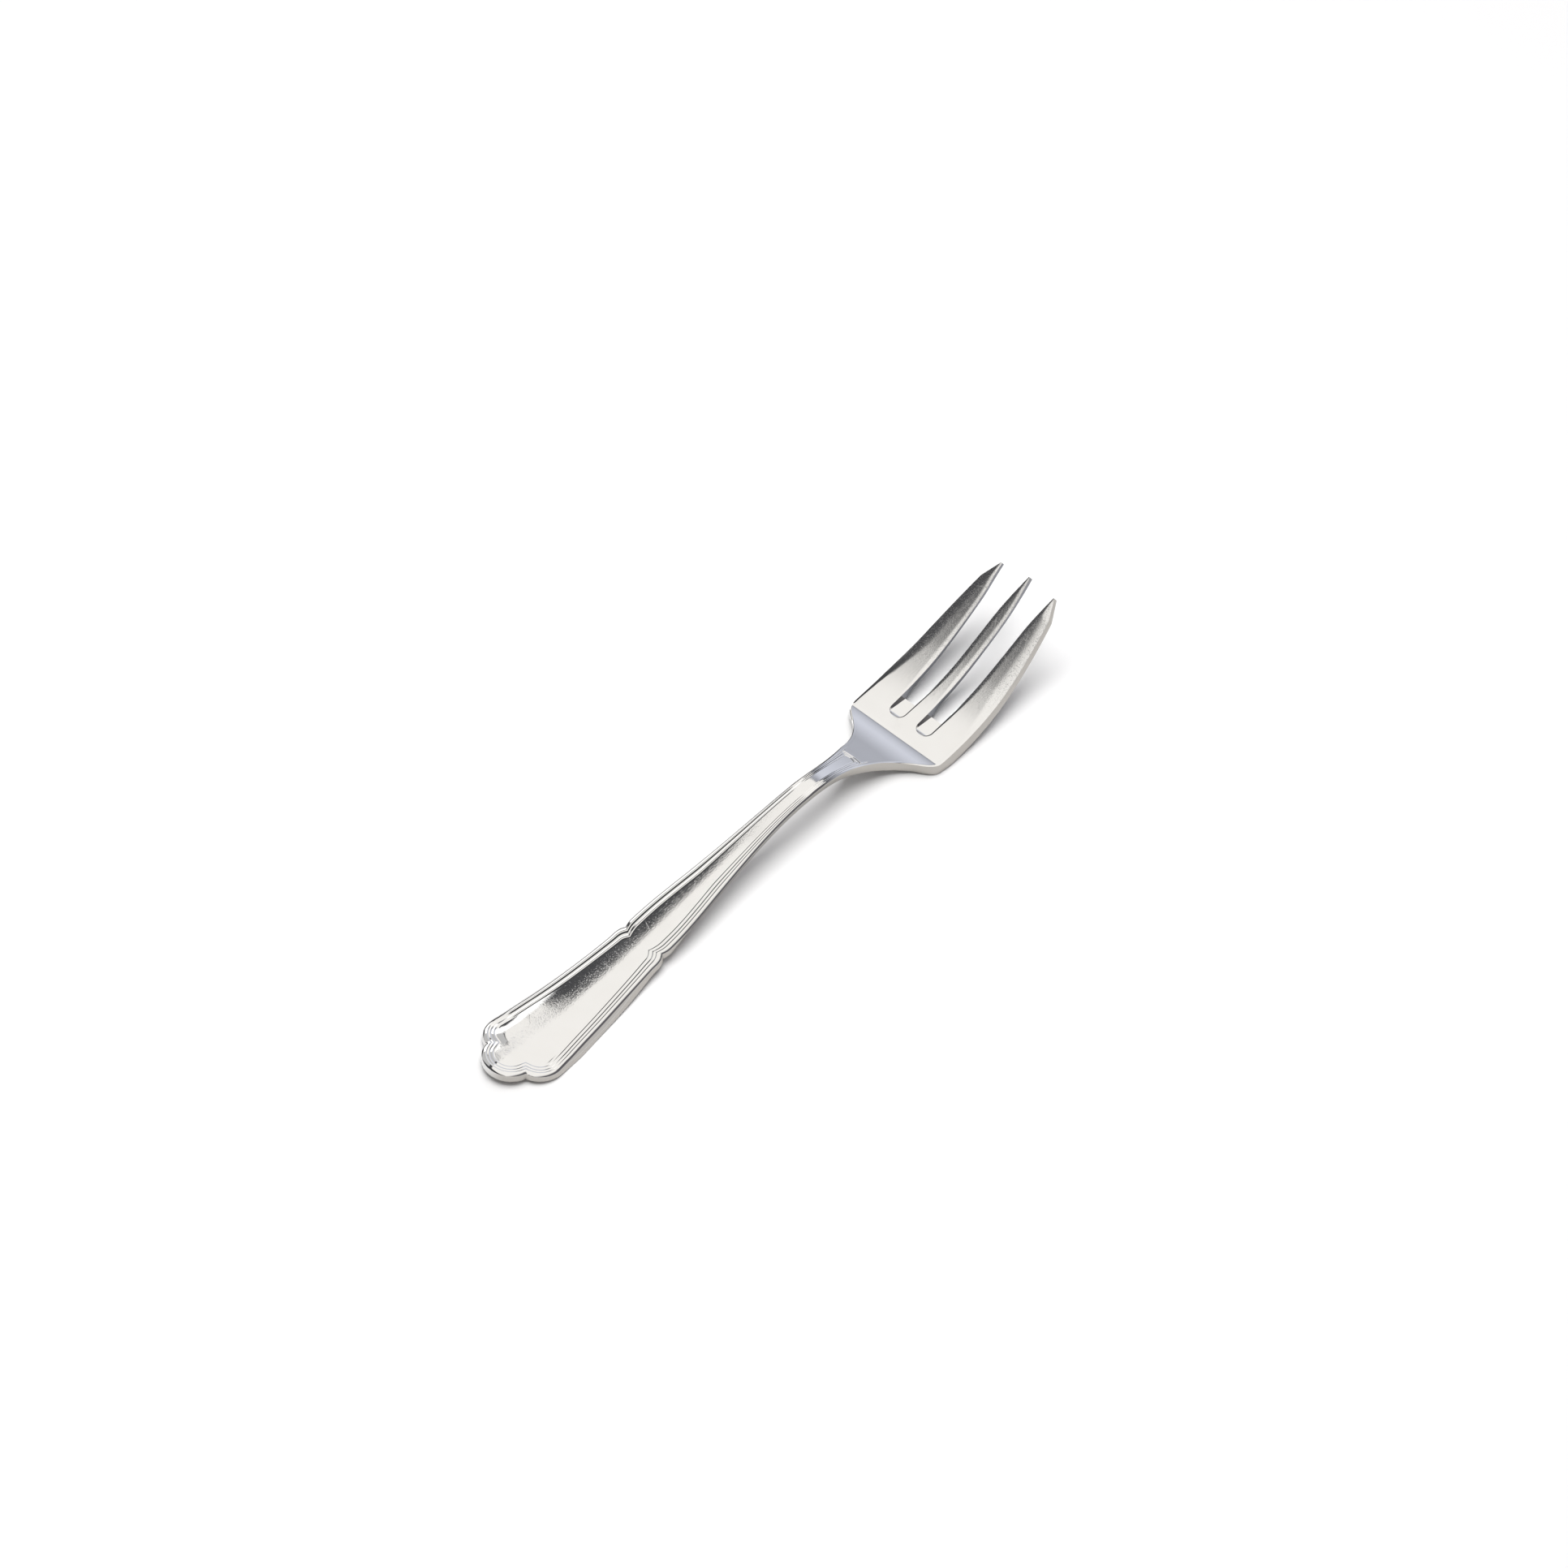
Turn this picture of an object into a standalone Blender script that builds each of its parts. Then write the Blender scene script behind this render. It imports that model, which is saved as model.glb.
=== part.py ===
"""Appetizer fork: one steel blank, stamped to a cusped outline, coined with a thread border,
slotted into three tines, and bent to a low arch. It lies on its back with the tines turned up.
The origin is the bottom centre of its box, +Y runs to the tine tips and +Z is up."""
import math

import bmesh
import bpy
import numpy as np

for old in list(bpy.data.objects):
    bpy.data.objects.remove(old, do_unlink=True)

# Sizes in millimetres. Positions along the fork are measured from the tip of the handle.
LENGTH = 150.8
END_LOBE_RADIUS = 5.4
SIDE_LOBE_RADIUS = 5.27
SIDE_LOBE_AT = 9.25
END_WIDTH = 17.84
LOWER_LOBE_WIDTH = 11.56
LOWER_LOBE_REACH = 3.75
CUSP_AT = 41.25
CUSP_WIDTH = 9.84
UPPER_LOBE_WIDTH = 10.68
UPPER_LOBE_REACH = 1.95
SHANK_AT = 58.5
SHANK_WIDTH = 8.14
NECK_AT = 84.5
NECK_WIDTH = 4.84
BORDER_END_AT = 100.2
BORDER_END_WIDTH = 6.36
FLARE_AT = 108.9
FLARE_WIDTH = 18.0
SHOULDER_AT = 112.3
HEAD_WIDTH = 23.4
BEVEL_LENGTH = 4.6
BEVEL_WIDTH = 17.8
TIP_SPREAD = 13.7
OUTER_TIP_BACK = 0.6
TIP_BLUNT = 0.5

# Slots and tines.
SLOT_ROOT_AT = 114.9
SLOT_WIDTH = 3.6
MIDDLE_TINE_WIDTH = 3.32
RAMP_LENGTH = 4.9
RAMP_DROP = 1.0

# Thickness, crown and bend. Heights are those of the top along the middle.
HANDLE_THICKNESS = 2.25
NECK_THICKNESS = 2.5
PALM_THICKNESS = 2.5
TIP_THICKNESS = 1.75
END_LIFT = 1.25
REST_AT = 17.5
REST_LENGTH = 5.0
ARCH_HEIGHT = 9.5
TINE_LIFT = 16.8
HANDLE_CROWN = 1.0
NECK_CROWN = 0.4
HEAD_CROWN = 0.12
TIP_CROWN = 0.1
EDGE_ROLL = 0.15
EDGE_ROLL_WIDTH = 0.45
TINE_ROLL = 0.3
TINE_ROLL_WIDTH = 1.4
BACK_ROLL = 0.2

# The rounded walls are widest low down: the back reaches past the top's edge.
HANDLE_FLARE = 0.75
PLAIN_FLARE = 0.1
HEAD_FLARE = 0.3
WALL_FULLNESS = 0.3

# Thread border: an edge bead and two threads, parted by coined grooves.
EDGE_BEAD = 0.97
THREAD_PITCH = 0.61
GROOVE_WIDTH = 0.24
GROOVE_DEPTH = 0.14
BORDER_PER_WIDTH = 0.127
CLOSE_BOW = 0.25

HALF = LENGTH / 2.0
SLOT_X = (MIDDLE_TINE_WIDTH + SLOT_WIDTH) / 2.0
SLOT_RADIUS = SLOT_WIDTH / 2.0
RAMP_END = SLOT_ROOT_AT + RAMP_LENGTH
BEVEL_AT = LENGTH - BEVEL_LENGTH
OUTER_END = LENGTH - OUTER_TIP_BACK


def curve(table, u):
    """Smooth curve through rows of (position, value, slope)."""
    table = np.asarray(table, float)
    u = np.asarray(u, float)
    row = np.clip(np.searchsorted(table[:, 0], u, side="right") - 1, 0, len(table) - 2)
    p0, v0, m0 = np.moveaxis(table[row], -1, 0)
    p1, v1, m1 = np.moveaxis(table[row + 1], -1, 0)
    span = p1 - p0
    t = (u - p0) / span
    return ((2 * t**3 - 3 * t**2 + 1) * v0 + (t**3 - 2 * t**2 + t) * span * m0
            + (3 * t**2 - 2 * t**3) * v1 + (t**3 - t**2) * span * m1)


ARCH_RISE = ARCH_HEIGHT - HANDLE_THICKNESS
ARCH_FALL = ARCH_HEIGHT - PALM_THICKNESS
TINE_RISE = TINE_LIFT - PALM_THICKNESS
REST_START = REST_AT - REST_LENGTH / 2.0
REST_END = REST_AT + REST_LENGTH / 2.0
SPINE = [
    (0.0, HANDLE_THICKNESS + END_LIFT, -1.2 * END_LIFT / REST_START),
    (REST_START, HANDLE_THICKNESS, 0.0),
    (REST_END, HANDLE_THICKNESS, 0.0),
    (REST_END + 18.0, HANDLE_THICKNESS + 0.175 * ARCH_RISE, 0.0176 * ARCH_RISE),
    (NECK_AT - 18.5, HANDLE_THICKNESS + 0.732 * ARCH_RISE, 0.0218 * ARCH_RISE),
    (NECK_AT, ARCH_HEIGHT, 0.0),
    (NECK_AT + 14.5, PALM_THICKNESS + 0.606 * ARCH_FALL, -0.0514 * ARCH_FALL),
    (FLARE_AT, PALM_THICKNESS + 0.06 * ARCH_FALL, -0.0257 * ARCH_FALL),
    (SHOULDER_AT - 0.9, PALM_THICKNESS + 0.0057 * ARCH_FALL, -0.0186 * ARCH_FALL),
    (SHOULDER_AT + 0.3, PALM_THICKNESS, 0.006 * TINE_RISE),
    (SLOT_ROOT_AT + 7.1, PALM_THICKNESS + 0.087 * TINE_RISE, 0.0146 * TINE_RISE),
    (SLOT_ROOT_AT + 17.1, PALM_THICKNESS + 0.307 * TINE_RISE, 0.0321 * TINE_RISE),
    (LENGTH, TINE_LIFT, 0.042 * TINE_RISE),
]
THICKNESS = [
    (0.0, HANDLE_THICKNESS, 0.0),
    (CUSP_AT, HANDLE_THICKNESS, 0.0),
    (NECK_AT, NECK_THICKNESS, 0.0),
    (SHOULDER_AT + 0.3, PALM_THICKNESS, 0.0),
    (LENGTH, TIP_THICKNESS, -0.02),
]
SIDE_TILT = math.radians(8.0)
SIDE_X = END_WIDTH / 2.0 - SIDE_LOBE_RADIUS
SIDE_START = SIDE_LOBE_AT + SIDE_LOBE_RADIUS * math.sin(SIDE_TILT)
SIDE_HALF = SIDE_X + SIDE_LOBE_RADIUS * math.cos(SIDE_TILT)
LOWER_SIDE = [
    (SIDE_START, SIDE_HALF, -math.tan(SIDE_TILT)),
    (CUSP_AT - LOWER_LOBE_REACH, LOWER_LOBE_WIDTH / 2.0, -0.08),
    (CUSP_AT, CUSP_WIDTH / 2.0, -0.85),
]
UPPER_SIDE = [
    (CUSP_AT, CUSP_WIDTH / 2.0, 0.4),
    (CUSP_AT + UPPER_LOBE_REACH, UPPER_LOBE_WIDTH / 2.0, 0.0),
    (SHANK_AT, SHANK_WIDTH / 2.0, -0.108),
    (NECK_AT, NECK_WIDTH / 2.0, 0.0),
    (BORDER_END_AT, BORDER_END_WIDTH / 2.0, 0.26),
    (FLARE_AT, FLARE_WIDTH / 2.0, 1.42),
    (SHOULDER_AT, HEAD_WIDTH / 2.0 - 0.06, 0.07),
    (SLOT_ROOT_AT, HEAD_WIDTH / 2.0, 0.0),
    (BEVEL_AT, BEVEL_WIDTH / 2.0, -0.2),
]
TIP_X = TIP_SPREAD / 2.0
MIDDLE_SIDE = [
    (SLOT_ROOT_AT + SLOT_RADIUS, MIDDLE_TINE_WIDTH / 2.0, -0.02),
    (SLOT_ROOT_AT + 19.0, 0.845 * MIDDLE_TINE_WIDTH / 2.0, -0.005),
    (BEVEL_AT - 4.5, 0.78 * MIDDLE_TINE_WIDTH / 2.0, -0.04),
    (LENGTH, TIP_BLUNT / 2.0, -0.19),
]
INNER_SIDE = [
    (SLOT_ROOT_AT + SLOT_RADIUS, SLOT_X + SLOT_RADIUS, 0.01),
    (SLOT_ROOT_AT + 19.0, SLOT_X + SLOT_RADIUS + 0.24, 0.02),
    (BEVEL_AT - 3.7, SLOT_X + SLOT_RADIUS + 0.49, 0.04),
    (OUTER_END, TIP_X - TIP_BLUNT / 2.0, 0.1),
]
WALL_FLARES = [
    (0.0, 0.0, 0.0),
    (SIDE_LOBE_AT, 0.3 * HANDLE_FLARE, 0.08 * HANDLE_FLARE),
    (SIDE_LOBE_AT + 7.5, HANDLE_FLARE, 0.0),
    (CUSP_AT - 13.0, 0.9 * HANDLE_FLARE, -0.03 * HANDLE_FLARE),
    (CUSP_AT - 1.0, PLAIN_FLARE, 0.0),
    (FLARE_AT, PLAIN_FLARE, 0.0),
    (SLOT_ROOT_AT, HEAD_FLARE, 0.0),
    (BEVEL_AT, 0.8 * HEAD_FLARE, 0.0),
    (LENGTH, 0.3 * HEAD_FLARE, 0.0),
]
HEAD_CROWNS = [
    (0.0, HANDLE_CROWN, 0.0),
    (NECK_AT, NECK_CROWN, 0.0),
    (SHOULDER_AT, HEAD_CROWN, 0.0),
    (SLOT_ROOT_AT, HEAD_CROWN, 0.0),
    (LENGTH, TIP_CROWN, 0.0),
]


def bend(x, u, h):
    """Place points of the flat blank (across, along, height over the top's middle line) on the bend."""
    step = 0.05
    slope = (curve(SPINE, u + step) - curve(SPINE, u - step)) / (2.0 * step)
    tilt = np.arctan(slope)
    return np.stack([x + 0.0 * u, u - HALF - h * np.sin(tilt), curve(SPINE, u) + h * np.cos(tilt)], -1)


def half_outline():
    """Right half of the outline, from the handle tip to the outer tine's tip, as rows of (x, u)."""
    gap = math.hypot(SIDE_X, SIDE_LOBE_AT - END_LOBE_RADIUS)
    along = (gap**2 + END_LOBE_RADIUS**2 - SIDE_LOBE_RADIUS**2) / (2.0 * gap)
    off = math.sqrt(END_LOBE_RADIUS**2 - along**2)
    ux, uy = SIDE_X / gap, (SIDE_LOBE_AT - END_LOBE_RADIUS) / gap
    notch = (along * ux + off * uy, END_LOBE_RADIUS + along * uy - off * ux)
    turn = math.atan2(notch[1] - END_LOBE_RADIUS, notch[0])
    lobe = np.linspace(-math.pi / 2.0, turn, 8)
    end = np.stack([END_LOBE_RADIUS * np.cos(lobe), END_LOBE_RADIUS + END_LOBE_RADIUS * np.sin(lobe)], -1)
    end[0, 0] = 0.0
    turn = math.atan2(notch[1] - SIDE_LOBE_AT, notch[0] - SIDE_X)
    lobe = np.linspace(turn, SIDE_TILT, 9)[1:]
    side = np.stack([SIDE_X + SIDE_LOBE_RADIUS * np.cos(lobe),
                     SIDE_LOBE_AT + SIDE_LOBE_RADIUS * np.sin(lobe)], -1)
    lower = np.concatenate([np.linspace(SIDE_START, CUSP_AT - LOWER_LOBE_REACH, 8)[1:],
                            CUSP_AT - LOWER_LOBE_REACH * np.array([0.72, 0.45, 0.2, 0.0])])
    upper = np.concatenate([CUSP_AT + UPPER_LOBE_REACH * np.array([0.3, 0.62, 1.0]),
                            np.linspace(CUSP_AT + UPPER_LOBE_REACH, NECK_AT, 15)[1:],
                            np.linspace(NECK_AT, BORDER_END_AT, 8)[1:]])
    flare = np.concatenate([[BORDER_END_AT + GROOVE_WIDTH],
                            np.linspace(BORDER_END_AT + 1.5, FLARE_AT, 5),
                            np.linspace(FLARE_AT, SHOULDER_AT, 5)[1:], [SLOT_ROOT_AT]])
    rows = np.concatenate([lower, upper, flare, tine_rows()[1:]])
    width = np.where(rows <= CUSP_AT, curve(LOWER_SIDE, rows), curve(UPPER_SIDE, rows))
    past = np.clip((rows - BEVEL_AT) / BEVEL_LENGTH, 0.0, 1.0)
    width = np.where(rows > BEVEL_AT,
                     BEVEL_WIDTH / 2.0 + (TIP_X + TIP_BLUNT / 2.0 - BEVEL_WIDTH / 2.0) * past, width)
    rows = rows - OUTER_TIP_BACK * past
    points = np.concatenate([end, side, np.stack([width, rows], -1)])
    border_row = len(end) + len(side) + len(lower) + len(upper) - 1
    root_row = border_row + len(flare)
    return points, border_row, root_row


def tine_rows():
    """Stations of the tines, from the slot roots to the tips."""
    arc = np.linspace(0.0, math.pi / 2.0, 6)
    return np.concatenate([SLOT_ROOT_AT + SLOT_RADIUS * (1.0 - np.cos(arc)),
                           np.linspace(SLOT_ROOT_AT + SLOT_RADIUS, RAMP_END, 3)[1:],
                           np.linspace(RAMP_END, BEVEL_AT, 10)[1:],
                           np.linspace(BEVEL_AT, LENGTH, 5)[1:]])


def inward(points):
    """Inward normals of the half outline, mitred so that offset runs stay parallel."""
    ahead = np.diff(points, axis=0)
    ahead = ahead / np.linalg.norm(ahead, axis=1, keepdims=True)
    before = np.concatenate([ahead[:1] * [1.0, -1.0], ahead])
    after = np.concatenate([ahead, ahead[-1:]])
    n0 = np.stack([-before[:, 1], before[:, 0]], -1)
    n1 = np.stack([-after[:, 1], after[:, 0]], -1)
    return (n0 + n1) / (1.0 + (n0 * n1).sum(1, keepdims=True))


def roll(distance, drop, width):
    """Rounding of a top edge: a parabola that dies out at the given distance from the edge."""
    return drop * (1.0 - np.minimum(distance / width, 1.0)) ** 2


def edge_roll(distance, u):
    mix = np.clip((u - SHOULDER_AT) / 15.0, 0.0, 1.0)
    return roll(distance, EDGE_ROLL + mix * (TINE_ROLL - EDGE_ROLL),
                EDGE_ROLL_WIDTH + mix * (TINE_ROLL_WIDTH - EDGE_ROLL_WIDTH))


def slot_sides(u):
    """Half width of the middle tine and inner side of the outer tine at stations past the slot root."""
    reach = np.clip((u - SLOT_ROOT_AT) / SLOT_RADIUS, 0.0, 1.0)
    gap = SLOT_RADIUS * np.sqrt(1.0 - (1.0 - reach) ** 2)
    inside = u < SLOT_ROOT_AT + SLOT_RADIUS
    return (np.where(inside, SLOT_X - gap, curve(MIDDLE_SIDE, u)),
            np.where(inside, SLOT_X + gap, curve(INNER_SIDE, u)))


def slot_roll(x, u):
    """Rounding of the top beside the slot, by the distance to its side or to its round root."""
    middle, inner = slot_sides(np.maximum(u, SLOT_ROOT_AT + SLOT_RADIUS))
    straight = np.maximum(middle - x, x - inner)
    around = np.hypot(x - SLOT_X, u - SLOT_ROOT_AT - SLOT_RADIUS) - SLOT_RADIUS
    distance = np.maximum(np.where(u < SLOT_ROOT_AT + SLOT_RADIUS, around, straight), 0.0)
    return roll(distance, TINE_ROLL * np.clip((u - SLOT_ROOT_AT) / 10.0, 0.15, 1.0), TINE_ROLL_WIDTH)


def crown(distance, reach, u):
    """Drop of the top at a distance from the outline, where reach is the distance that the crown needs."""
    return curve(HEAD_CROWNS, u) * (1.0 - np.minimum(distance / reach, 1.0)) ** 2


mesh = bmesh.new()


def add_grid(points):
    """Add a patch of quads through an array of points, rows by columns."""
    verts = [[mesh.verts.new(point * 0.001) for point in row] for row in points]
    for r in range(len(verts) - 1):
        for c in range(len(verts[0]) - 1):
            mesh.faces.new((verts[r][c], verts[r + 1][c], verts[r + 1][c + 1], verts[r][c + 1]))


def add_cap(points):
    mesh.faces.new([mesh.verts.new(point * 0.001) for point in points])


outline, border_row, root_row = half_outline()
normal = inward(outline)
across, along = outline.T
count = len(outline)
middle, inner = slot_sides(along)
on_handle = np.arange(count) <= border_row
border = np.where(along < CUSP_AT, 1.0, np.minimum(1.0, 2.0 * BORDER_PER_WIDTH * across))
tine_room = 0.45 * (across - inner) / EDGE_BEAD
border = np.where(np.arange(count) > root_row + 6, np.minimum(border, tine_room), border)
reach = np.where(on_handle, np.where(along < CUSP_AT, 5.4, np.minimum(across, 5.4)), across)
fade = 1.0 - np.clip((along - BORDER_END_AT) / 2.5, 0.0, 1.0)

# Edge bead, all the way round the outline.
half_groove = GROOVE_WIDTH / 2.0
strip_depths = np.array([0.0, 0.16, 0.5, EDGE_BEAD - half_groove, EDGE_BEAD])
strip = outline[:, None] + normal[:, None] * (strip_depths[None] * border[:, None])[..., None]
strip_x, strip_u = strip[..., 0], strip[..., 1]
inset = strip_depths[None] * border[:, None]
crown_distance = np.where((np.arange(count) < border_row)[:, None], inset, across[:, None] - strip_x)
strip_h = -crown(crown_distance, reach[:, None], along[:, None]) - edge_roll(inset, along[:, None])
strip_h[:, -1] -= GROOVE_DEPTH * border * fade
strip_h = strip_h - np.where((np.arange(count) > root_row)[:, None], slot_roll(strip_x, strip_u), 0.0)
strip_points = bend(strip_x, strip_u, strip_h)
add_grid(strip_points)

# Columns of the head, from the middle to the edge bead, parted at the slot.
tine_columns = np.array([0.0, 0.4, 0.7, 0.88, 1.0])
outer_columns = np.array([0.0, 0.05, 0.15, 0.35, 0.6, 0.82, 1.0])
split = SLOT_X / strip_x[root_row, -1]
columns = np.concatenate([split * tine_columns, split + (1.0 - split) * outer_columns[1:]])

# Threads of the border: rings that run round the handle and close across the neck.
second, third = EDGE_BEAD + THREAD_PITCH, EDGE_BEAD + 2.0 * THREAD_PITCH
ring_depths = np.array([EDGE_BEAD, EDGE_BEAD + half_groove, second - half_groove, second,
                        second + half_groove, third - half_groove, third, third + half_groove])
ring_grooves = np.array([1, 0, 0, 1, 0, 0, 1, 0]) * GROOVE_DEPTH
handle = slice(0, border_row + 1)
inset = ring_depths[None] * border[handle, None]
rings = outline[handle, None] + normal[handle, None] * inset[..., None]
tangent = np.array([normal[border_row, 1], -normal[border_row, 0]])
rings[-1] -= tangent * (inset[-1] - inset[-1, 0])[:, None]
ring_distance = inset.copy()
ring_distance[-1] = across[border_row] - rings[-1, :, 0]
bow = columns[::-1][1:, None]
close_x = bow * rings[-1, :, 0]
close_u = rings[-1, :, 1] + CLOSE_BOW * (1.0 - bow**2)
rings = np.concatenate([rings, np.stack([close_x, close_u], -1)])
ring_distance = np.concatenate([ring_distance, across[border_row] - close_x])
ring_reach = np.concatenate([reach[handle], np.full(len(bow), reach[border_row])])[:, None]
ring_border = np.concatenate([border[handle], np.full(len(bow), border[border_row])])[:, None]
ring_along = np.concatenate([along[handle], np.full(len(bow), along[border_row])])[:, None]
ring_h = -crown(ring_distance, ring_reach, ring_along) - edge_roll(ring_distance, ring_along)
ring_h = ring_h - ring_grooves[None] * ring_border
add_grid(bend(rings[..., 0], rings[..., 1], ring_h))

# Plain field inside the threads, from the last ring to the middle line.
rim = rings[:, -1]
steps = np.maximum(np.diff(rim[:, 1]), 0.3 * np.linalg.norm(np.diff(rim, axis=0), axis=1))
spread = np.concatenate([[0.0], np.cumsum(steps)]) / steps.sum()
field_middle = rim[0, 1] + 0.9 + spread * (rim[-1, 1] - 0.5 - rim[0, 1] - 0.9)
part = np.linspace(0.0, 1.0, 4)[None]
field_x = rim[:, :1] * (1.0 - part)
field_u = rim[:, 1:] + (field_middle[:, None] - rim[:, 1:]) * part
field_h = -crown(ring_distance[:, -1:] + rim[:, :1] * part, ring_reach, ring_along)
field_h[:, 0] = ring_h[:, -1]
add_grid(bend(field_x, field_u, field_h))

# Neck and palm, from the closed border to the slot roots.
front = slice(border_row, root_row + 1)
rim_x, rim_u = strip_x[front, -1], strip_u[front, -1]
palm_bow = CLOSE_BOW * np.linspace(1.0, 0.0, len(rim_x))
palm_x = rim_x[:, None] * columns
palm_u = rim_u[:, None] + palm_bow[:, None] * (1.0 - columns**2)
palm_h = -crown(across[front, None] - palm_x, reach[front, None], along[front, None])
palm_h[0] -= GROOVE_DEPTH * border[border_row]
palm_h[:, -1] = strip_h[front, -1]
palm_h = palm_h - np.where(np.arange(len(columns)) < len(columns) - 1, 1.0, 0.0) * slot_roll(palm_x, palm_u)
add_grid(bend(palm_x, palm_u, palm_h))

# Tines.
tail = slice(root_row, count)
rows = along[tail]
mid_rows = tine_rows()
mid_sides = slot_sides(mid_rows)[0]
mid_x = mid_sides[:, None] * tine_columns
mid_u = mid_rows[:, None] + 0.0 * mid_x
mid_h = -crown(across[tail, None] - mid_x, across[tail, None], mid_u) - slot_roll(mid_x, mid_u)
mid_h[0] = palm_h[-1, :len(tine_columns)]
mid_u[0] = palm_u[-1, :len(tine_columns)]
mid_points = bend(mid_x, mid_u, mid_h)
add_grid(mid_points)

out_x = inner[tail, None] + (strip_x[tail, -1:] - inner[tail, None]) * outer_columns
out_u = rows[:, None] + (strip_u[tail, -1:] - rows[:, None]) * outer_columns
rim_inset = (EDGE_BEAD * border[tail])[:, None]
out_inset = rim_inset + (1.0 - outer_columns) * (strip_x[tail, -1:] - inner[tail, None])
out_h = -crown(across[tail, None] - out_x, across[tail, None], along[tail, None])
out_h = out_h - edge_roll(out_inset, along[tail, None]) - slot_roll(out_x, out_u)
out_h[0] = palm_h[-1, len(tine_columns) - 1:]
out_u[0] = palm_u[-1, len(tine_columns) - 1:]
out_h[:, -1] = strip_h[tail, -1]
out_points = bend(out_x, out_u, out_h)
add_grid(out_points)

# Coined ramps at the slot roots.
ramp_rows = int(np.argmin(np.abs(rows - RAMP_END)))
ramp = slice(0, ramp_rows + 1)
share = np.linspace(0.0, 1.0, 4)
floor_x = middle[tail][ramp, None] + (inner[tail] - middle[tail])[ramp, None] * share
floor_u = rows[ramp, None] + 0.0 * floor_x
floor_h = mid_h[0, -1] - RAMP_DROP * (floor_u - SLOT_ROOT_AT) / RAMP_LENGTH
floor_u[0] = mid_u[0, -1]
floor_h[0] = mid_h[0, -1]
floor_points = bend(floor_x, floor_u, floor_h)
add_grid(floor_points)
add_grid(np.stack([mid_points[ramp, -1], floor_points[:, 0]], 1))
add_grid(np.stack([out_points[ramp, 0], floor_points[:, -1]], 1))

# Plain back.
flare = curve(WALL_FLARES, along)
back_outline = outline - normal * flare[:, None]
back_outline[root_row:, 1] = along[root_row:]
back_across, back_along = back_outline.T
back_split = SLOT_X / back_across[root_row]
back_tine = np.array([0.0, 0.6, 1.0])
back_outer = np.array([0.0, 0.12, 0.5, 0.88, 1.0])
back_columns = np.concatenate([back_split * back_tine, back_split + (1.0 - back_split) * back_outer[1:]])
lead = slice(0, root_row + 1)
steps = np.maximum(np.diff(along[lead]), 0.3 * np.linalg.norm(np.diff(outline[lead], axis=0), axis=1))
spread = np.concatenate([[0.0], np.cumsum(steps)]) / steps.sum()
back_middle = 2.0 + spread * (SLOT_ROOT_AT - 2.0)
back_x = back_across[lead, None] * back_columns
back_u = back_along[lead, None] + (back_middle - back_along[lead])[:, None] * (1.0 - back_columns**2)
back_h = -curve(THICKNESS, back_u)
back_h[:, -1] += BACK_ROLL
back_points = bend(back_x, back_u, back_h)
add_grid(back_points)

lifted = np.where(rows > RAMP_END + 0.01, BACK_ROLL, 0.0)
back_mid_x = mid_sides[:, None] * back_tine
back_mid_u = mid_rows[:, None] + 0.0 * back_mid_x
back_mid_h = -curve(THICKNESS, back_mid_u)
back_mid_h[:, -1] += lifted
back_mid = bend(back_mid_x, back_mid_u, back_mid_h)
add_grid(back_mid)
back_out_x = inner[tail, None] + (back_across[tail] - inner[tail])[:, None] * back_outer
back_out_u = rows[:, None] + 0.0 * back_out_x
back_out_h = -curve(THICKNESS, back_out_u)
back_out_h[:, 0] += lifted
back_out_h[:, -1] += BACK_ROLL
back_out = bend(back_out_x, back_out_u, back_out_h)
add_grid(back_out)
back_floor = bend(floor_x, rows[ramp, None] + 0.0 * floor_x, -curve(THICKNESS, rows[ramp, None] + 0.0 * floor_x))
add_grid(back_floor)
add_grid(np.stack([floor_points[-1], back_floor[-1]]))

# Side walls: round the outline, along the slots, and across the tips.
rim_back = np.concatenate([back_points[:, -1], back_out[1:, -1]])
wall_middle = (strip_points[:, 0] + rim_back) / 2.0
wall_middle[:, :2] -= normal * (WALL_FULLNESS * flare)[:, None]
wall_middle[root_row:, 1] = (strip_points[root_row:, 0, 1] + rim_back[root_row:, 1]) / 2.0
add_grid(np.stack([strip_points[:, 0], wall_middle, rim_back], 1))
open_rows = slice(ramp_rows, len(rows))
slot_mid = np.stack([mid_points[open_rows, -1], (mid_points[:, -1] + back_mid[:, -1])[open_rows] / 2.0,
                     back_mid[open_rows, -1]], 1)
slot_out = np.stack([out_points[open_rows, 0], (out_points[:, 0] + back_out[:, 0])[open_rows] / 2.0,
                     back_out[open_rows, 0]], 1)
slot_mid[0, 1] = floor_points[-1, 0]
slot_out[0, 1] = floor_points[-1, -1]
add_grid(slot_mid)
add_grid(slot_out)
add_cap(np.concatenate([mid_points[-1], slot_mid[-1, 1:2], back_mid[-1, ::-1]]))
add_cap(np.concatenate([out_points[-1], strip_points[-1, ::-1][1:], wall_middle[-1:],
                        back_out[-1, ::-1], slot_out[-1, 1:2]]))

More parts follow.
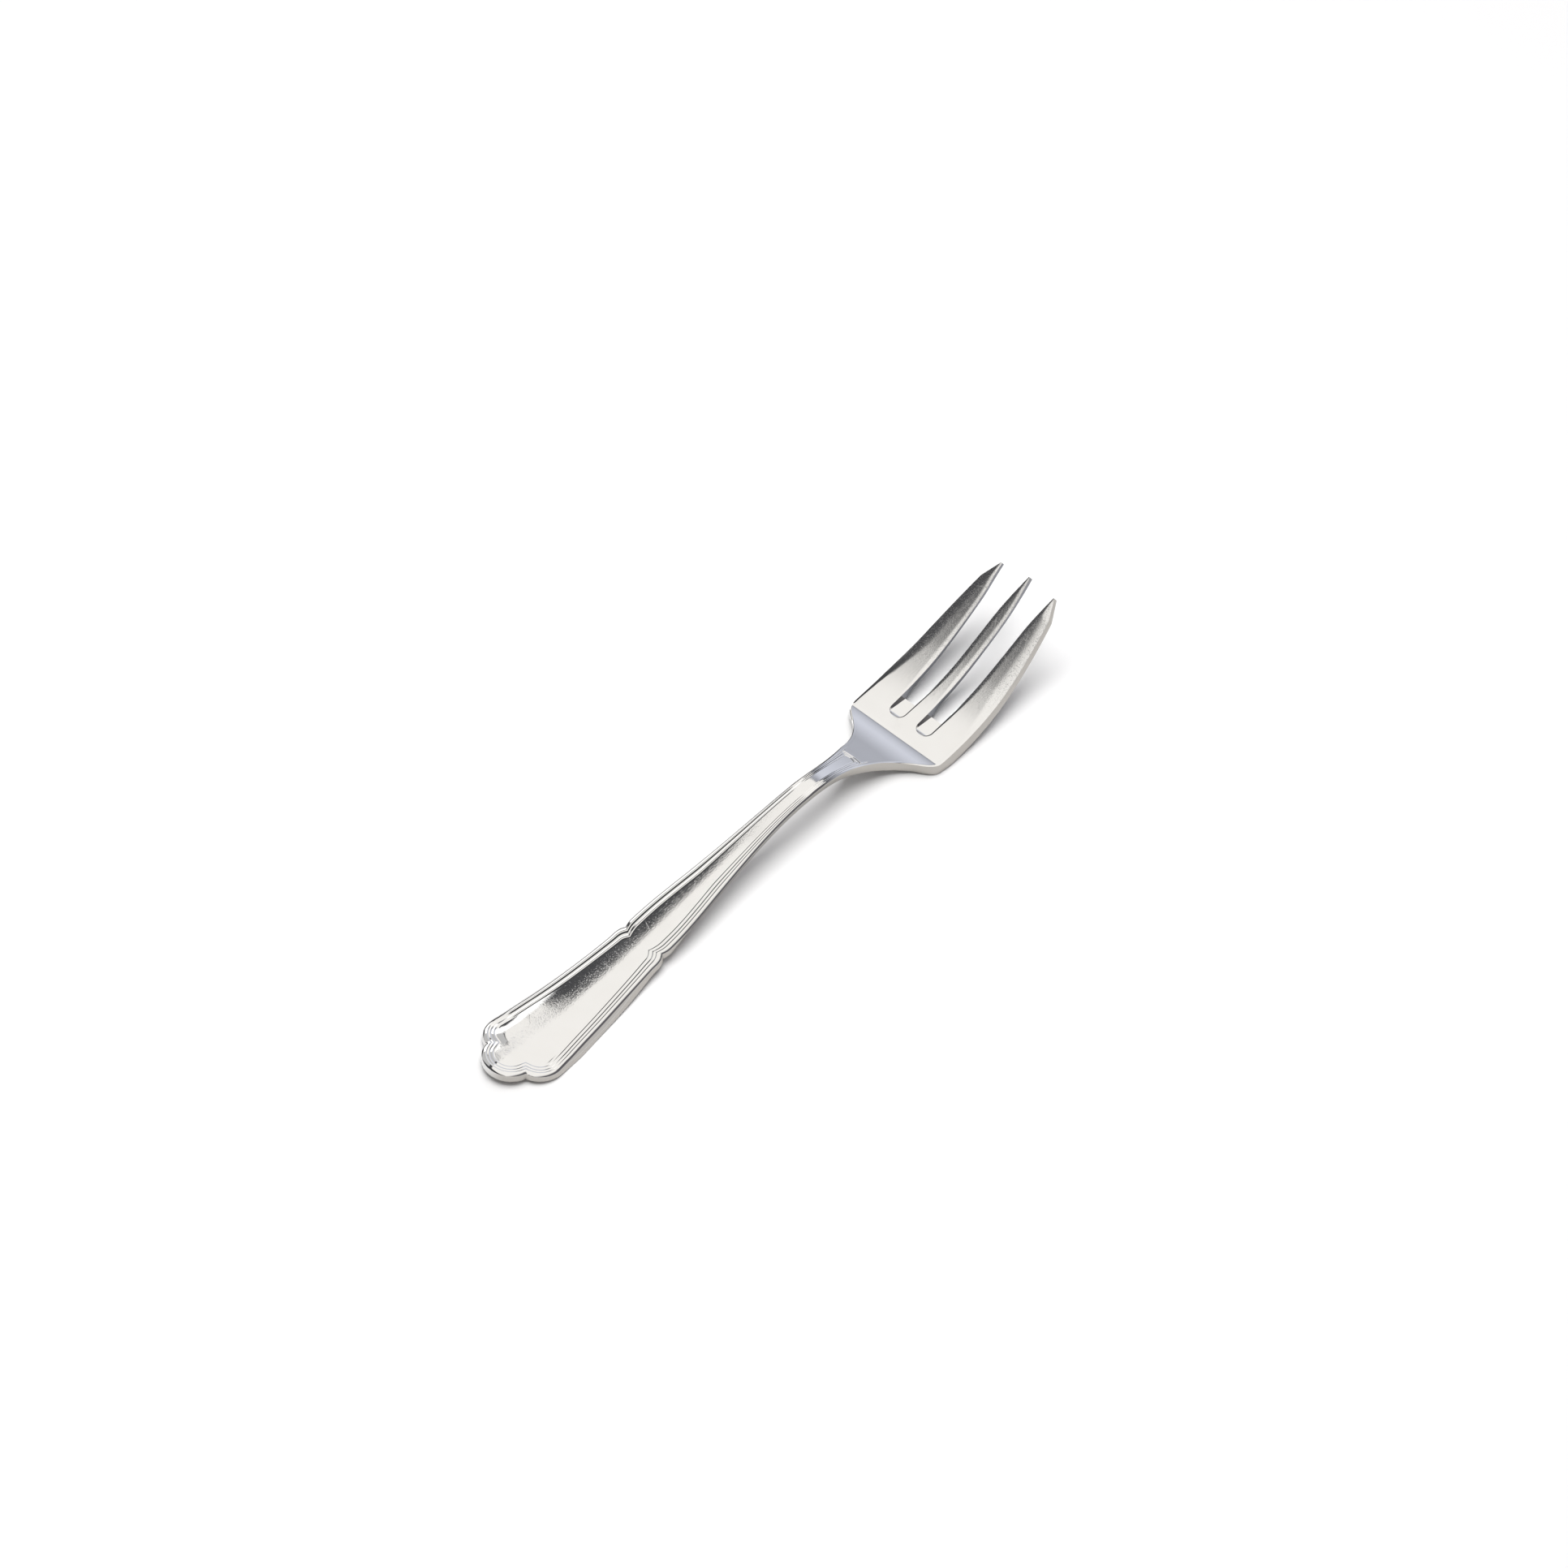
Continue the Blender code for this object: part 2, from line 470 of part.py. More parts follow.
# Weld the patches, mirror the half, and close the solid.
for vert in mesh.verts:
    if abs(vert.co.x) < 1e-7:
        vert.co.x = 0.0
bmesh.ops.remove_doubles(mesh, verts=mesh.verts, dist=2e-6)
bmesh.ops.mirror(mesh, geom=mesh.verts[:] + mesh.edges[:] + mesh.faces[:], axis="X", merge_dist=1e-6)
bmesh.ops.remove_doubles(mesh, verts=mesh.verts, dist=2e-6)
bmesh.ops.triangulate(mesh, faces=mesh.faces[:])
bmesh.ops.recalc_face_normals(mesh, faces=mesh.faces[:])
corner = np.array([vert.co[:] for vert in mesh.verts])
middle_y = (corner[:, 1].min() + corner[:, 1].max()) / 2.0
bmesh.ops.translate(mesh, verts=mesh.verts, vec=(0.0, -middle_y, -corner[:, 2].min()))

data = bpy.data.meshes.new("fork")
mesh.to_mesh(data)
mesh.free()
fork = bpy.data.objects.new("fork", data)
bpy.context.collection.objects.link(fork)

steel = bpy.data.materials.new("polished_steel")
steel.use_nodes = True
shader = steel.node_tree.nodes["Principled BSDF"]
shader.inputs["Base Color"].default_value = (0.62, 0.61, 0.60, 1.0)
shader.inputs["Metallic"].default_value = 1.0
shader.inputs["Roughness"].default_value = 0.12
data.materials.append(steel)
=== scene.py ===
# %% [markdown]
# An appetizer fork in polished steel.
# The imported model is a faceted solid: right in size, but a mirror finish shows every facet. This lesson
# works the same fork out again as smooth surfaces, polishes it, and puts it in a small studio.

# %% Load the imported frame
import math

import bmesh
import bpy
import numpy as np
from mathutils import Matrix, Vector


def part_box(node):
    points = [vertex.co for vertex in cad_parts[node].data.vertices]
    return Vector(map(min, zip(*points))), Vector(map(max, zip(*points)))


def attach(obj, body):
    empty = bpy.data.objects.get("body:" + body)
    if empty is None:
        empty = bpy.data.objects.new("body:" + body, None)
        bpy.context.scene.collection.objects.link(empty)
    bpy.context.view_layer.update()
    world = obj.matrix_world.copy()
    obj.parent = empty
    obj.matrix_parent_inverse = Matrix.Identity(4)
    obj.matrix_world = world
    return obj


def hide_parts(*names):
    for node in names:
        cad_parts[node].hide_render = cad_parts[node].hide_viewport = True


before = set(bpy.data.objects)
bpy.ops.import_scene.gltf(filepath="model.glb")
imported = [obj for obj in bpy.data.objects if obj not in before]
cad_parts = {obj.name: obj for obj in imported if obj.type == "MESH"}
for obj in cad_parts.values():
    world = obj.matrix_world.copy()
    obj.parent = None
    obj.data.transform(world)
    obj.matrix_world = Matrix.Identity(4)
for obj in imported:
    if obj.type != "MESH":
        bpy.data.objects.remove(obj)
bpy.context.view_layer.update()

# %% [markdown]
# The camera comes first, because in a polished piece every bright and dark patch is a reflection, and that
# depends on where the eye is. It could be placed by hand in the viewport, but numbers for its turn, rise
# and distance can be measured and kept. It stands half way up, to the right of the handle's end, with a
# long lens. Three directions of the studio are kept for later: to the camera's right, away from it, and up.

# %% Camera
VIEW_TURN = math.radians(46.996)
VIEW_RISE = math.radians(50.569)
VIEW_DISTANCE = 1.2559
VIEW_POINT = Vector((-0.00865, 0.013688, 0.0))
RIGHT = Vector((math.sin(VIEW_TURN), math.cos(VIEW_TURN), 0.0))
AWAY = Vector((-math.cos(VIEW_TURN), math.sin(VIEW_TURN), 0.0))
UP = Vector((0.0, 0.0, 1.0))

lens = bpy.data.cameras.new("camera")
lens.lens = 149.07
lens.sensor_width = 36.0
lens.clip_start = 0.01
camera = bpy.data.objects.new("camera", lens)
back = UP * math.sin(VIEW_RISE) - AWAY * math.cos(VIEW_RISE)
camera.location = VIEW_POINT + back * VIEW_DISTANCE
camera.rotation_mode = "QUATERNION"
camera.rotation_quaternion = (-back).to_track_quat("-Z", "Y")
bpy.context.scene.collection.objects.link(camera)
bpy.context.scene.camera = camera
bpy.context.scene.view_settings.view_transform = "Standard"
print("camera at", [round(value, 3) for value in camera.location])

# %% [markdown]
# Shader trees are built from a few small helpers: one adds a node and wires what it is given, one is a Math
# node, one is a smooth step between two values, and one mixes two colours. The trees could be wired by hand
# in the editor, but here each line says what its node is for.

# %% Node helpers
def add_node(tree, kind, inputs=None, **settings):
    """Add a node, set its own settings, and fill its inputs from values or from other nodes' sockets."""
    made = tree.nodes.new(kind)
    for name, value in settings.items():
        setattr(made, name, value)
    for name, value in (inputs or {}).items():
        if isinstance(value, bpy.types.NodeSocket):
            tree.links.new(value, made.inputs[name])
        else:
            made.inputs[name].default_value = value
    return made


def maths(tree, operation, *values, clamp=False):
    """One Math node: the operation on one, two or three values."""
    return add_node(tree, "ShaderNodeMath", dict(enumerate(values)), operation=operation,
                    use_clamp=clamp).outputs[0]


def ramp_between(tree, value, low, high, start=0.0, end=1.0):
    """A smooth step: from start at the low value to end at the high one."""
    return add_node(tree, "ShaderNodeMapRange", {"Value": value, "From Min": low, "From Max": high,
                                                 "To Min": start, "To Max": end},
                    interpolation_type="SMOOTHSTEP").outputs["Result"]


def blend(tree, share, first, second):
    """One Mix node: the first colour where the share is 0, the second where it is 1."""
    return add_node(tree, "ShaderNodeMix", {"Factor": share, 6: first, 7: second},
                    data_type="RGBA").outputs[2]


print("node helpers: add_node, maths, ramp_between, blend")

# %% [markdown]
# Steel has no colour of its own to speak of, so the studio that it mirrors draws it. An image could be
# wrapped round the scene, but shapes drawn in the world's own nodes stay sharp and can be moved one by one.
# They start from directions: the world's Generated coordinate is the direction itself, and a direction
# divided by its own height is the place where it meets a ceiling one metre up.

# %% Directions of the studio
SOFT_EDGE = 0.03
LEAST_SHARE = 0.02
room = bpy.data.worlds.new("room")
room.use_nodes = True
bpy.context.scene.world = room
sky = room.node_tree
sky.nodes.clear()
direction = add_node(sky, "ShaderNodeTexCoord").outputs["Generated"]


def along_direction(way):
    """Share of the direction along a way: their dot product."""
    return add_node(sky, "ShaderNodeVectorMath", {0: direction, 1: way},
                    operation="DOT_PRODUCT").outputs["Value"]


def window(value, low, high, low_soft=SOFT_EDGE, high_soft=SOFT_EDGE):
    """1 between low and high, with soft edges."""
    rise = ramp_between(sky, value, low - low_soft / 2.0, low + low_soft / 2.0)
    fall = ramp_between(sky, value, high - high_soft / 2.0, high + high_soft / 2.0, 1.0, 0.0)
    return maths(sky, "MULTIPLY", rise, fall)


height = along_direction(UP)
sideways = along_direction(Vector((1.0, 0.0, 0.0)))
lengthways = along_direction(Vector((0.0, 1.0, 0.0)))
to_right = along_direction(RIGHT)
away = along_direction(AWAY)
above = maths(sky, "MAXIMUM", height, LEAST_SHARE)
ceiling_x = maths(sky, "DIVIDE", sideways, above)
ceiling_y = maths(sky, "DIVIDE", lengthways, above)
print("directions:", len(sky.nodes), "nodes in the world")

# %% [markdown]
# A softbox hangs over the fork with its left side along the fork's own axis: flat faces and faces that turn
# right mirror it as clean white, and faces that turn left fall dark. Its left side turns outward at the far
# end, its right side fades, and its near left corner is cut off. A second box, cut on a slant, carries the
# white on behind.

# %% Softboxes
BOX_X = (-0.494, 0.5)
BOX_Y = (-0.5, 0.68)
BOX_FADE = 0.4
BOX_TURN = 0.061
BOX_BEND = 0.2
BOX_BEND_AT = 0.26
BOX_CORNER = (-0.57, -0.47)
BOX_CORNER_SLANT = 0.5
BACK_BOX_X = (-1.12, 0.3)
BACK_BOX_Y = (0.3, 0.95)
BACK_BOX_LINE = (0.265, 0.295)
BACK_BOX_SLANT = 0.458
turned_x = maths(sky, "MULTIPLY_ADD", ceiling_y, BOX_TURN, ceiling_x)
far = maths(sky, "MAXIMUM", maths(sky, "SUBTRACT", ceiling_y, BOX_BEND_AT), 0.0)
turned_x = maths(sky, "MULTIPLY_ADD", far, BOX_BEND, turned_x)
box = maths(sky, "MULTIPLY", window(turned_x, *BOX_X, SOFT_EDGE, BOX_FADE), window(ceiling_y, *BOX_Y))
corner_line = maths(sky, "MULTIPLY_ADD", ceiling_x, BOX_CORNER_SLANT, ceiling_y)
box = maths(sky, "MULTIPLY", box, ramp_between(sky, corner_line, *BOX_CORNER))
back_box = maths(sky, "MULTIPLY", window(ceiling_x, *BACK_BOX_X), window(ceiling_y, *BACK_BOX_Y))
slant_line = maths(sky, "MULTIPLY_ADD", ceiling_x, BACK_BOX_SLANT, ceiling_y)
back_box = maths(sky, "MULTIPLY", back_box, ramp_between(sky, slant_line, *BACK_BOX_LINE))
boxes = maths(sky, "MAXIMUM", box, back_box)
print("softbox:", round(BOX_X[1] - BOX_X[0], 2), "by", round(BOX_Y[1] - BOX_Y[0], 2), "m at one metre up")

# %% [markdown]
# A bright panel stands low on the left, for the beads of the left border. It is drawn like the boxes, on an
# upright plane one metre away: a direction divided by its share away from the camera is a place on that
# plane, and the panel's top and foot are slanted lines there. A blue grey wall behind the tips shades the
# shoulder, and a colour ramp over the height gives its tones.

# %% Panel and wall
PANEL_ACROSS = (-0.62, -0.06)
PANEL_TOP = (0.80, 0.33)
PANEL_FOOT = (0.38, 0.27)
WALL_TINT = (0.885, 0.92, 1.04)
WALL_HEIGHTS = [(0.0, 0.64), (0.2, 0.62), (0.35, 0.78), (0.46, 0.88), (0.57, 0.97), (0.6, 0.86), (0.63, 0.52)]
WALL_SIDE = (0.0, 0.08)
WALL_AWAY = (0.1, 0.5)
WALL_TOP = (0.63, 0.7)
distance = maths(sky, "MAXIMUM", away, LEAST_SHARE)
panel_across = maths(sky, "DIVIDE", to_right, distance)
panel_height = maths(sky, "DIVIDE", height, distance)
top_line = maths(sky, "MULTIPLY_ADD", panel_across, PANEL_TOP[1], PANEL_TOP[0])
foot_line = maths(sky, "MULTIPLY_ADD", panel_across, PANEL_FOOT[1], PANEL_FOOT[0])
under_top = ramp_between(sky, maths(sky, "SUBTRACT", top_line, panel_height), -SOFT_EDGE, SOFT_EDGE)
over_foot = ramp_between(sky, maths(sky, "SUBTRACT", panel_height, foot_line), -SOFT_EDGE, SOFT_EDGE)
panel = maths(sky, "MULTIPLY", under_top, over_foot)
panel = maths(sky, "MULTIPLY", panel, window(panel_across, *PANEL_ACROSS))
wall_tones = add_node(sky, "ShaderNodeValToRGB", {"Fac": height})
stops = wall_tones.color_ramp.elements
while len(stops) < len(WALL_HEIGHTS):
    stops.new(1.0)
for stop, (at, level) in zip(stops, WALL_HEIGHTS):
    stop.position = at
    stop.color = [level * tint for tint in WALL_TINT] + [1.0]
behind_tips = maths(sky, "MULTIPLY", ramp_between(sky, to_right, *WALL_SIDE),
                    ramp_between(sky, away, *WALL_AWAY))
behind_tips = maths(sky, "MULTIPLY", behind_tips, ramp_between(sky, height, *WALL_TOP, 1.0, 0.0))
print("wall:", len(stops), "tones")

# %% [markdown]
# The rest of the room is dim: lighter to the right, pale grey low down there, and pale where it meets the
# floor. The panel and the boxes are laid over it in turn. The camera and the steel see the room at full
# strength, and it lights the floor a little below that.

# %% Colours of the studio
DIM = (0.083, 0.084, 0.09, 1.0)
DIM_RIGHT = (0.15, 0.145, 0.16, 1.0)
DIM_RIGHT_FROM = (0.1, 0.5)
RIGHT_LOW = (0.66, 0.64, 0.62, 1.0)
RIGHT_LOW_FROM = (0.4, 0.6)
RIGHT_LOW_TOP = (0.35, 0.6)
PALE_EDGE = (0.85, 0.85, 0.85, 1.0)
PALE_EDGE_FROM = (-0.6, -0.3)
PALE_EDGE_TOP = (0.02, 0.08)
PANEL_LIGHT = (1.6, 1.6, 1.6, 1.0)
BOX_LIGHT = (1.22, 1.2, 1.17, 1.0)
FILL = 0.95
right_low = maths(sky, "MULTIPLY", ramp_between(sky, sideways, *RIGHT_LOW_FROM),
                  ramp_between(sky, height, *RIGHT_LOW_TOP, 1.0, 0.0))
pale_edge = maths(sky, "MULTIPLY", ramp_between(sky, height, *PALE_EDGE_TOP, 1.0, 0.0),
                  ramp_between(sky, sideways, *PALE_EDGE_FROM))
colour = blend(sky, ramp_between(sky, sideways, *DIM_RIGHT_FROM), DIM, DIM_RIGHT)
colour = blend(sky, right_low, colour, RIGHT_LOW)
colour = blend(sky, behind_tips, colour, wall_tones.outputs["Color"])
colour = blend(sky, pale_edge, colour, PALE_EDGE)
colour = blend(sky, panel, colour, PANEL_LIGHT)
colour = blend(sky, boxes, colour, BOX_LIGHT)
paths = add_node(sky, "ShaderNodeLightPath").outputs
seen = maths(sky, "MAXIMUM", paths["Is Camera Ray"], paths["Is Glossy Ray"])
strength = ramp_between(sky, seen, 0.0, 1.0, FILL, 1.0)
shine = add_node(sky, "ShaderNodeBackground", {"Color": colour, "Strength": strength})
add_node(sky, "ShaderNodeOutputWorld", {"Surface": shine.outputs[0]})
print("studio:", len(sky.nodes), "nodes in the world")

# %% [markdown]
# One real lamp hangs nearly overhead. It is hidden from reflections and only gives the shadow, and it is
# wide, because a point or a sun would draw a hard one. A small lit card beside the handle's end is the
# opposite: it lights nothing and is only seen in the steel, where the rounded lobes would mirror the dark
# of the room.

# %% Shadow lamp and card
LAMP_SIZE = 0.7
LAMP_RADIANCE = 4.8
LAMP_PLACE = UP * 1.0 - RIGHT * 0.07 + AWAY * 0.02
CARD_SIZE = 0.09
CARD_RADIANCE = 0.6
CARD_PLACE = Vector((-0.094, -0.06, 0.075))
CARD_AIM = Vector((0.0, -0.073, 0.0))


def area_lamp(name, size, radiance, place, aim):
    """Square lamp turned to its aim. Its power is pi times its area times the radiance that it is to have."""
    light = bpy.data.lights.new(name, "AREA")
    light.size = size
    light.energy = math.pi * size**2 * radiance
    made = bpy.data.objects.new(name, light)
    made.location = place
    made.rotation_mode = "QUATERNION"
    made.rotation_quaternion = (aim - place).to_track_quat("-Z", "Y")
    bpy.context.scene.collection.objects.link(made)
    print(name, round(light.energy, 2), "W")
    return made


area_lamp("shadow_lamp", LAMP_SIZE, LAMP_RADIANCE, LAMP_PLACE, Vector()).visible_glossy = False
end_card = area_lamp("end_card", CARD_SIZE, CARD_RADIANCE, CARD_PLACE, CARD_AIM)
end_card.visible_diffuse = end_card.visible_camera = False

# %% [markdown]
# The floor is plain pale card, and the camera sees it white. The ground beside the fork is mirrored in its
# walls with painted shade in its colour: white on the left, where the light comes from, beige on the right,
# and grey through the slots, where the head shades it. So the right walls and the slots stay darker than the
# ground that they stand on. Light Path tells the two kinds of ray apart.

# %% Floor
FLOOR_HALF = 4.0
FLOOR_ROUGHNESS = 0.9
FLOOR_SEEN = (0.93, 0.93, 0.93, 1.0)
FLOOR_MIRRORED_PAINTED_SHADE = (0.59, 0.57, 0.545, 1.0)
FLOOR_PAINTED_SLOT_SHADE = (0.3, 0.31, 0.34, 1.0)
PAINTED_SHADE_RIGHT_FROM = (-0.004, 0.004)
PAINTED_SLOT_SHADE_FROM = (0.036, 0.040)
PAINTED_SLOT_SHADE_ACROSS = (0.008, 0.010)
floor_mesh = bpy.data.meshes.new("floor")
corners = FLOOR_HALF * np.array([(-1, -1, 0), (1, -1, 0), (1, 1, 0), (-1, 1, 0)], float)
floor_mesh.from_pydata(corners.tolist(), [], [(0, 1, 2, 3)])
floor = bpy.data.objects.new("floor", floor_mesh)
bpy.context.scene.collection.objects.link(floor)
card = bpy.data.materials.new("pale_card_painted_shade")
card.use_nodes = True
tree = card.node_tree
paper = tree.nodes["Principled BSDF"]
paper.inputs["Roughness"].default_value = FLOOR_ROUGHNESS
paper.inputs["Specular IOR Level"].default_value = 0.0
place = add_node(tree, "ShaderNodeTexCoord").outputs["Object"]
card_x, card_y = add_node(tree, "ShaderNodeSeparateXYZ", {0: place}).outputs[:2]
# Painted shade for the reflections only: the mirrored floor turns beige right of the fork and grey under the
# slots.
painted_shade_right = ramp_between(tree, card_x, *PAINTED_SHADE_RIGHT_FROM)
painted_slot_shade = maths(tree, "MULTIPLY", ramp_between(tree, card_y, *PAINTED_SLOT_SHADE_FROM),
                    ramp_between(tree, maths(tree, "ABSOLUTE", card_x), *PAINTED_SLOT_SHADE_ACROSS, 1.0, 0.0))
mirrored_floor_painted_shade = blend(tree, painted_shade_right, FLOOR_SEEN, FLOOR_MIRRORED_PAINTED_SHADE)
mirrored_floor_painted_shade = blend(tree, painted_slot_shade, mirrored_floor_painted_shade, FLOOR_PAINTED_SLOT_SHADE)
mirrored = add_node(tree, "ShaderNodeLightPath").outputs["Is Glossy Ray"]
tree.links.new(blend(tree, mirrored, FLOOR_SEEN, mirrored_floor_painted_shade), paper.inputs["Base Color"])
floor_mesh.materials.append(card)
print("floor:", 2.0 * FLOOR_HALF, "m square")

# %% [markdown]
# The fork is one piece of steel: blanked from a strip, coined, slotted and bent. Its sizes are those of the
# solid, in millimetres, and positions along it are measured from the tip of the handle. They are written
# once, so that a change of one moves everything that depends on it.

# %% Sizes of the blank
LENGTH = 150.4
END_LOBE_RADIUS = 5.4
SIDE_LOBE_RADIUS = 5.27
SIDE_LOBE_AT = 9.25
END_WIDTH = 17.84
LOWER_LOBE_WIDTH = 11.56
LOWER_LOBE_REACH = 3.75
CUSP_AT = 41.25
CUSP_WIDTH = 9.84
UPPER_LOBE_WIDTH = 10.68
UPPER_LOBE_REACH = 1.95
SHANK_AT = 58.5
SHANK_WIDTH = 8.14
NECK_AT = 84.5
NECK_WIDTH = 4.84
BORDER_END_AT = 99.1
BORDER_END_WIDTH = 6.36
FLARE_AT = 108.9
FLARE_WIDTH = 18.0
SHOULDER_AT = 112.3
HEAD_WIDTH = 23.4
BEVEL_LENGTH = 4.3
BEVEL_WIDTH = 17.8
TIP_SPREAD = 13.7
OUTER_TIP_BACK = 0.6
TIP_BLUNT = 0.34
SLOT_ROOT_AT = 114.9
SLOT_WIDTH = 3.6
MIDDLE_TINE_WIDTH = 3.32
RAMP_LENGTH = 4.9
RAMP_DROP = 1.0
RAMP_STEP = 0.3
RAMP_STEP_LENGTH = 0.8
SLOT_X = (MIDDLE_TINE_WIDTH + SLOT_WIDTH) / 2.0
SLOT_RADIUS = SLOT_WIDTH / 2.0
RAMP_END = SLOT_ROOT_AT + RAMP_LENGTH
BEVEL_AT = LENGTH - BEVEL_LENGTH
OUTER_END = LENGTH - OUTER_TIP_BACK
TIP_X = TIP_SPREAD / 2.0
print("fork:", LENGTH, "mm long,", HEAD_WIDTH, "mm across the head")

# %% [markdown]
# Long, calm curves describe cutlery best. Each is drawn through a few stations, with a value and a slope at
# each, and a cubic between two stations meets both: a Hermite curve. The bend of the fork is such a curve
# too: it gives the height of the top along the middle. A lattice could bend a flat fork as well, but a
# formula bends it exactly, and its slope is known everywhere.

# %% Curves and the bend
HANDLE_THICKNESS = 2.25
NECK_THICKNESS = 2.5
PALM_THICKNESS = 2.5
TIP_THICKNESS = 1.75
END_LIFT = 1.25
END_SLOPE = 0.1
REST_START = 14.0
REST_END = 18.0
ARCH_HEIGHT = 9.5
TINE_LIFT = 16.6
ARCH_RISE = ARCH_HEIGHT - HANDLE_THICKNESS
ARCH_FALL = ARCH_HEIGHT - PALM_THICKNESS
TINE_RISE = TINE_LIFT - PALM_THICKNESS
SPINE = [
    (0.0, HANDLE_THICKNESS + END_LIFT, -END_SLOPE),
    (REST_START, HANDLE_THICKNESS, 0.0),
    (REST_END, HANDLE_THICKNESS, 0.0),
    (REST_END + 20.0, HANDLE_THICKNESS + 0.175 * ARCH_RISE, 0.0176 * ARCH_RISE),
    (NECK_AT - 18.5, HANDLE_THICKNESS + 0.732 * ARCH_RISE, 0.0218 * ARCH_RISE),
    (NECK_AT, ARCH_HEIGHT, 0.0),
    (NECK_AT + 14.5, PALM_THICKNESS + 0.606 * ARCH_FALL, -0.0514 * ARCH_FALL),
    (FLARE_AT, PALM_THICKNESS + 0.06 * ARCH_FALL, -0.0257 * ARCH_FALL),
    (SHOULDER_AT - 0.9, PALM_THICKNESS + 0.0057 * ARCH_FALL, -0.0186 * ARCH_FALL),
    (SHOULDER_AT + 0.3, PALM_THICKNESS, 0.006 * TINE_RISE),
    (SLOT_ROOT_AT + 7.1, PALM_THICKNESS + 0.087 * TINE_RISE, 0.0146 * TINE_RISE),
    (SLOT_ROOT_AT + 17.1, PALM_THICKNESS + 0.307 * TINE_RISE, 0.0321 * TINE_RISE),
    (LENGTH, TINE_LIFT, 0.042 * TINE_RISE),
]
THICKNESS = [
    (0.0, HANDLE_THICKNESS, 0.0),
    (CUSP_AT, HANDLE_THICKNESS, 0.0),
    (NECK_AT, NECK_THICKNESS, 0.0),
    (SHOULDER_AT + 0.3, PALM_THICKNESS, 0.0),
    (LENGTH, TIP_THICKNESS, -0.02),
]


def curve(rows, at):
    """Hermite curve through rows of (station, value, slope): with t from 0 to 1 between two stations,
    the values are weighted by 2t^3-3t^2+1 and 3t^2-2t^3, and the slopes by t^3-2t^2+t and t^3-t^2."""
    rows, at = np.asarray(rows, float), np.asarray(at, float)
    row = np.clip(np.searchsorted(rows[:, 0], at, side="right") - 1, 0, len(rows) - 2)
    p0, v0, m0 = np.moveaxis(rows[row], -1, 0)
    p1, v1, m1 = np.moveaxis(rows[row + 1], -1, 0)
    span = p1 - p0
    t = (at - p0) / span
    return ((2 * t**3 - 3 * t**2 + 1) * v0 + (t**3 - 2 * t**2 + t) * span * m0
            + (3 * t**2 - 2 * t**3) * v1 + (t**3 - t**2) * span * m1)


def ease(value, low, high):
    """Smooth step from 0 at low to 1 at high."""
    t = np.clip((value - low) / (high - low), 0.0, 1.0)
    return t * t * (3.0 - 2.0 * t)


def bend(x, u, h):
    """Bend the flat blank: a point at x across, u along and h over the top's middle line goes to the spine's
    point at u, and h along the spine's normal from there."""
    step = 0.05
    tilt = np.arctan((curve(SPINE, u + step) - curve(SPINE, u - step)) / (2.0 * step))
    return np.stack([x + 0.0 * u, u - LENGTH / 2.0 - h * np.sin(tilt),
                     curve(SPINE, u) + h * np.cos(tilt)], -1)


print("arch:", round(float(curve(SPINE, NECK_AT)), 2), "mm high, tips",
      round(float(curve(SPINE, LENGTH)), 2), "mm")

# %% [markdown]
# Half of the outline is enough, because the fork is the same on both sides. Past the lobes of its end the
# sides swell, pinch to a cusp, swell again, thin to the neck, flare to the shoulder and end in the bevel of
# the outer tine. Two curves give the half width, one on each side of the cusp, because the outline is sharp
# there.

# %% Sides
SIDE_TILT = math.radians(8.0)
SIDE_X = END_WIDTH / 2.0 - SIDE_LOBE_RADIUS
SIDE_START = SIDE_LOBE_AT + SIDE_LOBE_RADIUS * math.sin(SIDE_TILT)
SIDE_HALF = SIDE_X + SIDE_LOBE_RADIUS * math.cos(SIDE_TILT)
LOWER_SIDE = [
    (SIDE_START, SIDE_HALF, -math.tan(SIDE_TILT)),
    (CUSP_AT - LOWER_LOBE_REACH, LOWER_LOBE_WIDTH / 2.0, -0.08),
    (CUSP_AT, CUSP_WIDTH / 2.0, -0.85),
]
UPPER_SIDE = [
    (CUSP_AT, CUSP_WIDTH / 2.0, 0.4),
    (CUSP_AT + UPPER_LOBE_REACH, UPPER_LOBE_WIDTH / 2.0, 0.0),
    (SHANK_AT, SHANK_WIDTH / 2.0, -0.108),
    (NECK_AT, NECK_WIDTH / 2.0, 0.0),
    (BORDER_END_AT, BORDER_END_WIDTH / 2.0, 0.26),
    (FLARE_AT, FLARE_WIDTH / 2.0, 1.42),
    (SHOULDER_AT, HEAD_WIDTH / 2.0 - 0.06, 0.07),
    (SLOT_ROOT_AT, HEAD_WIDTH / 2.0, 0.0),
    (BEVEL_AT, BEVEL_WIDTH / 2.0, -0.2),
]
print("sides:", len(LOWER_SIDE) + len(UPPER_SIDE), "stations")

# %% [markdown]
# The end of the handle is three round lobes, and the notch is where two circles cross. Points are set
# closest where the outline turns most: at the lobes, the cusp, the end of the border and the round slot
# roots.

# %% Half outline
ROUND_ROOT_ROWS = 15


def stations(*runs):
    """Stations along the fork: each run is (start, end, count), and runs that meet share their station."""
    return np.concatenate([np.linspace(low, high, count)[(0 if place == 0 else 1):]
                           for place, (low, high, count) in enumerate(runs)])


def circle(x, u, radius, turns):
    """Points on a circle round (x, u), at the given turns from the x direction."""
    return np.stack([x + radius * np.cos(turns), u + radius * np.sin(turns)], -1)


arc = np.linspace(0.0, math.pi / 2.0, ROUND_ROOT_ROWS)
tine_rows = np.concatenate([SLOT_ROOT_AT + SLOT_RADIUS * (1.0 - np.cos(arc)),
                            stations((SLOT_ROOT_AT + SLOT_RADIUS, RAMP_END, 9), (RAMP_END, BEVEL_AT, 48),
                                     (BEVEL_AT, LENGTH, 15))[1:]])


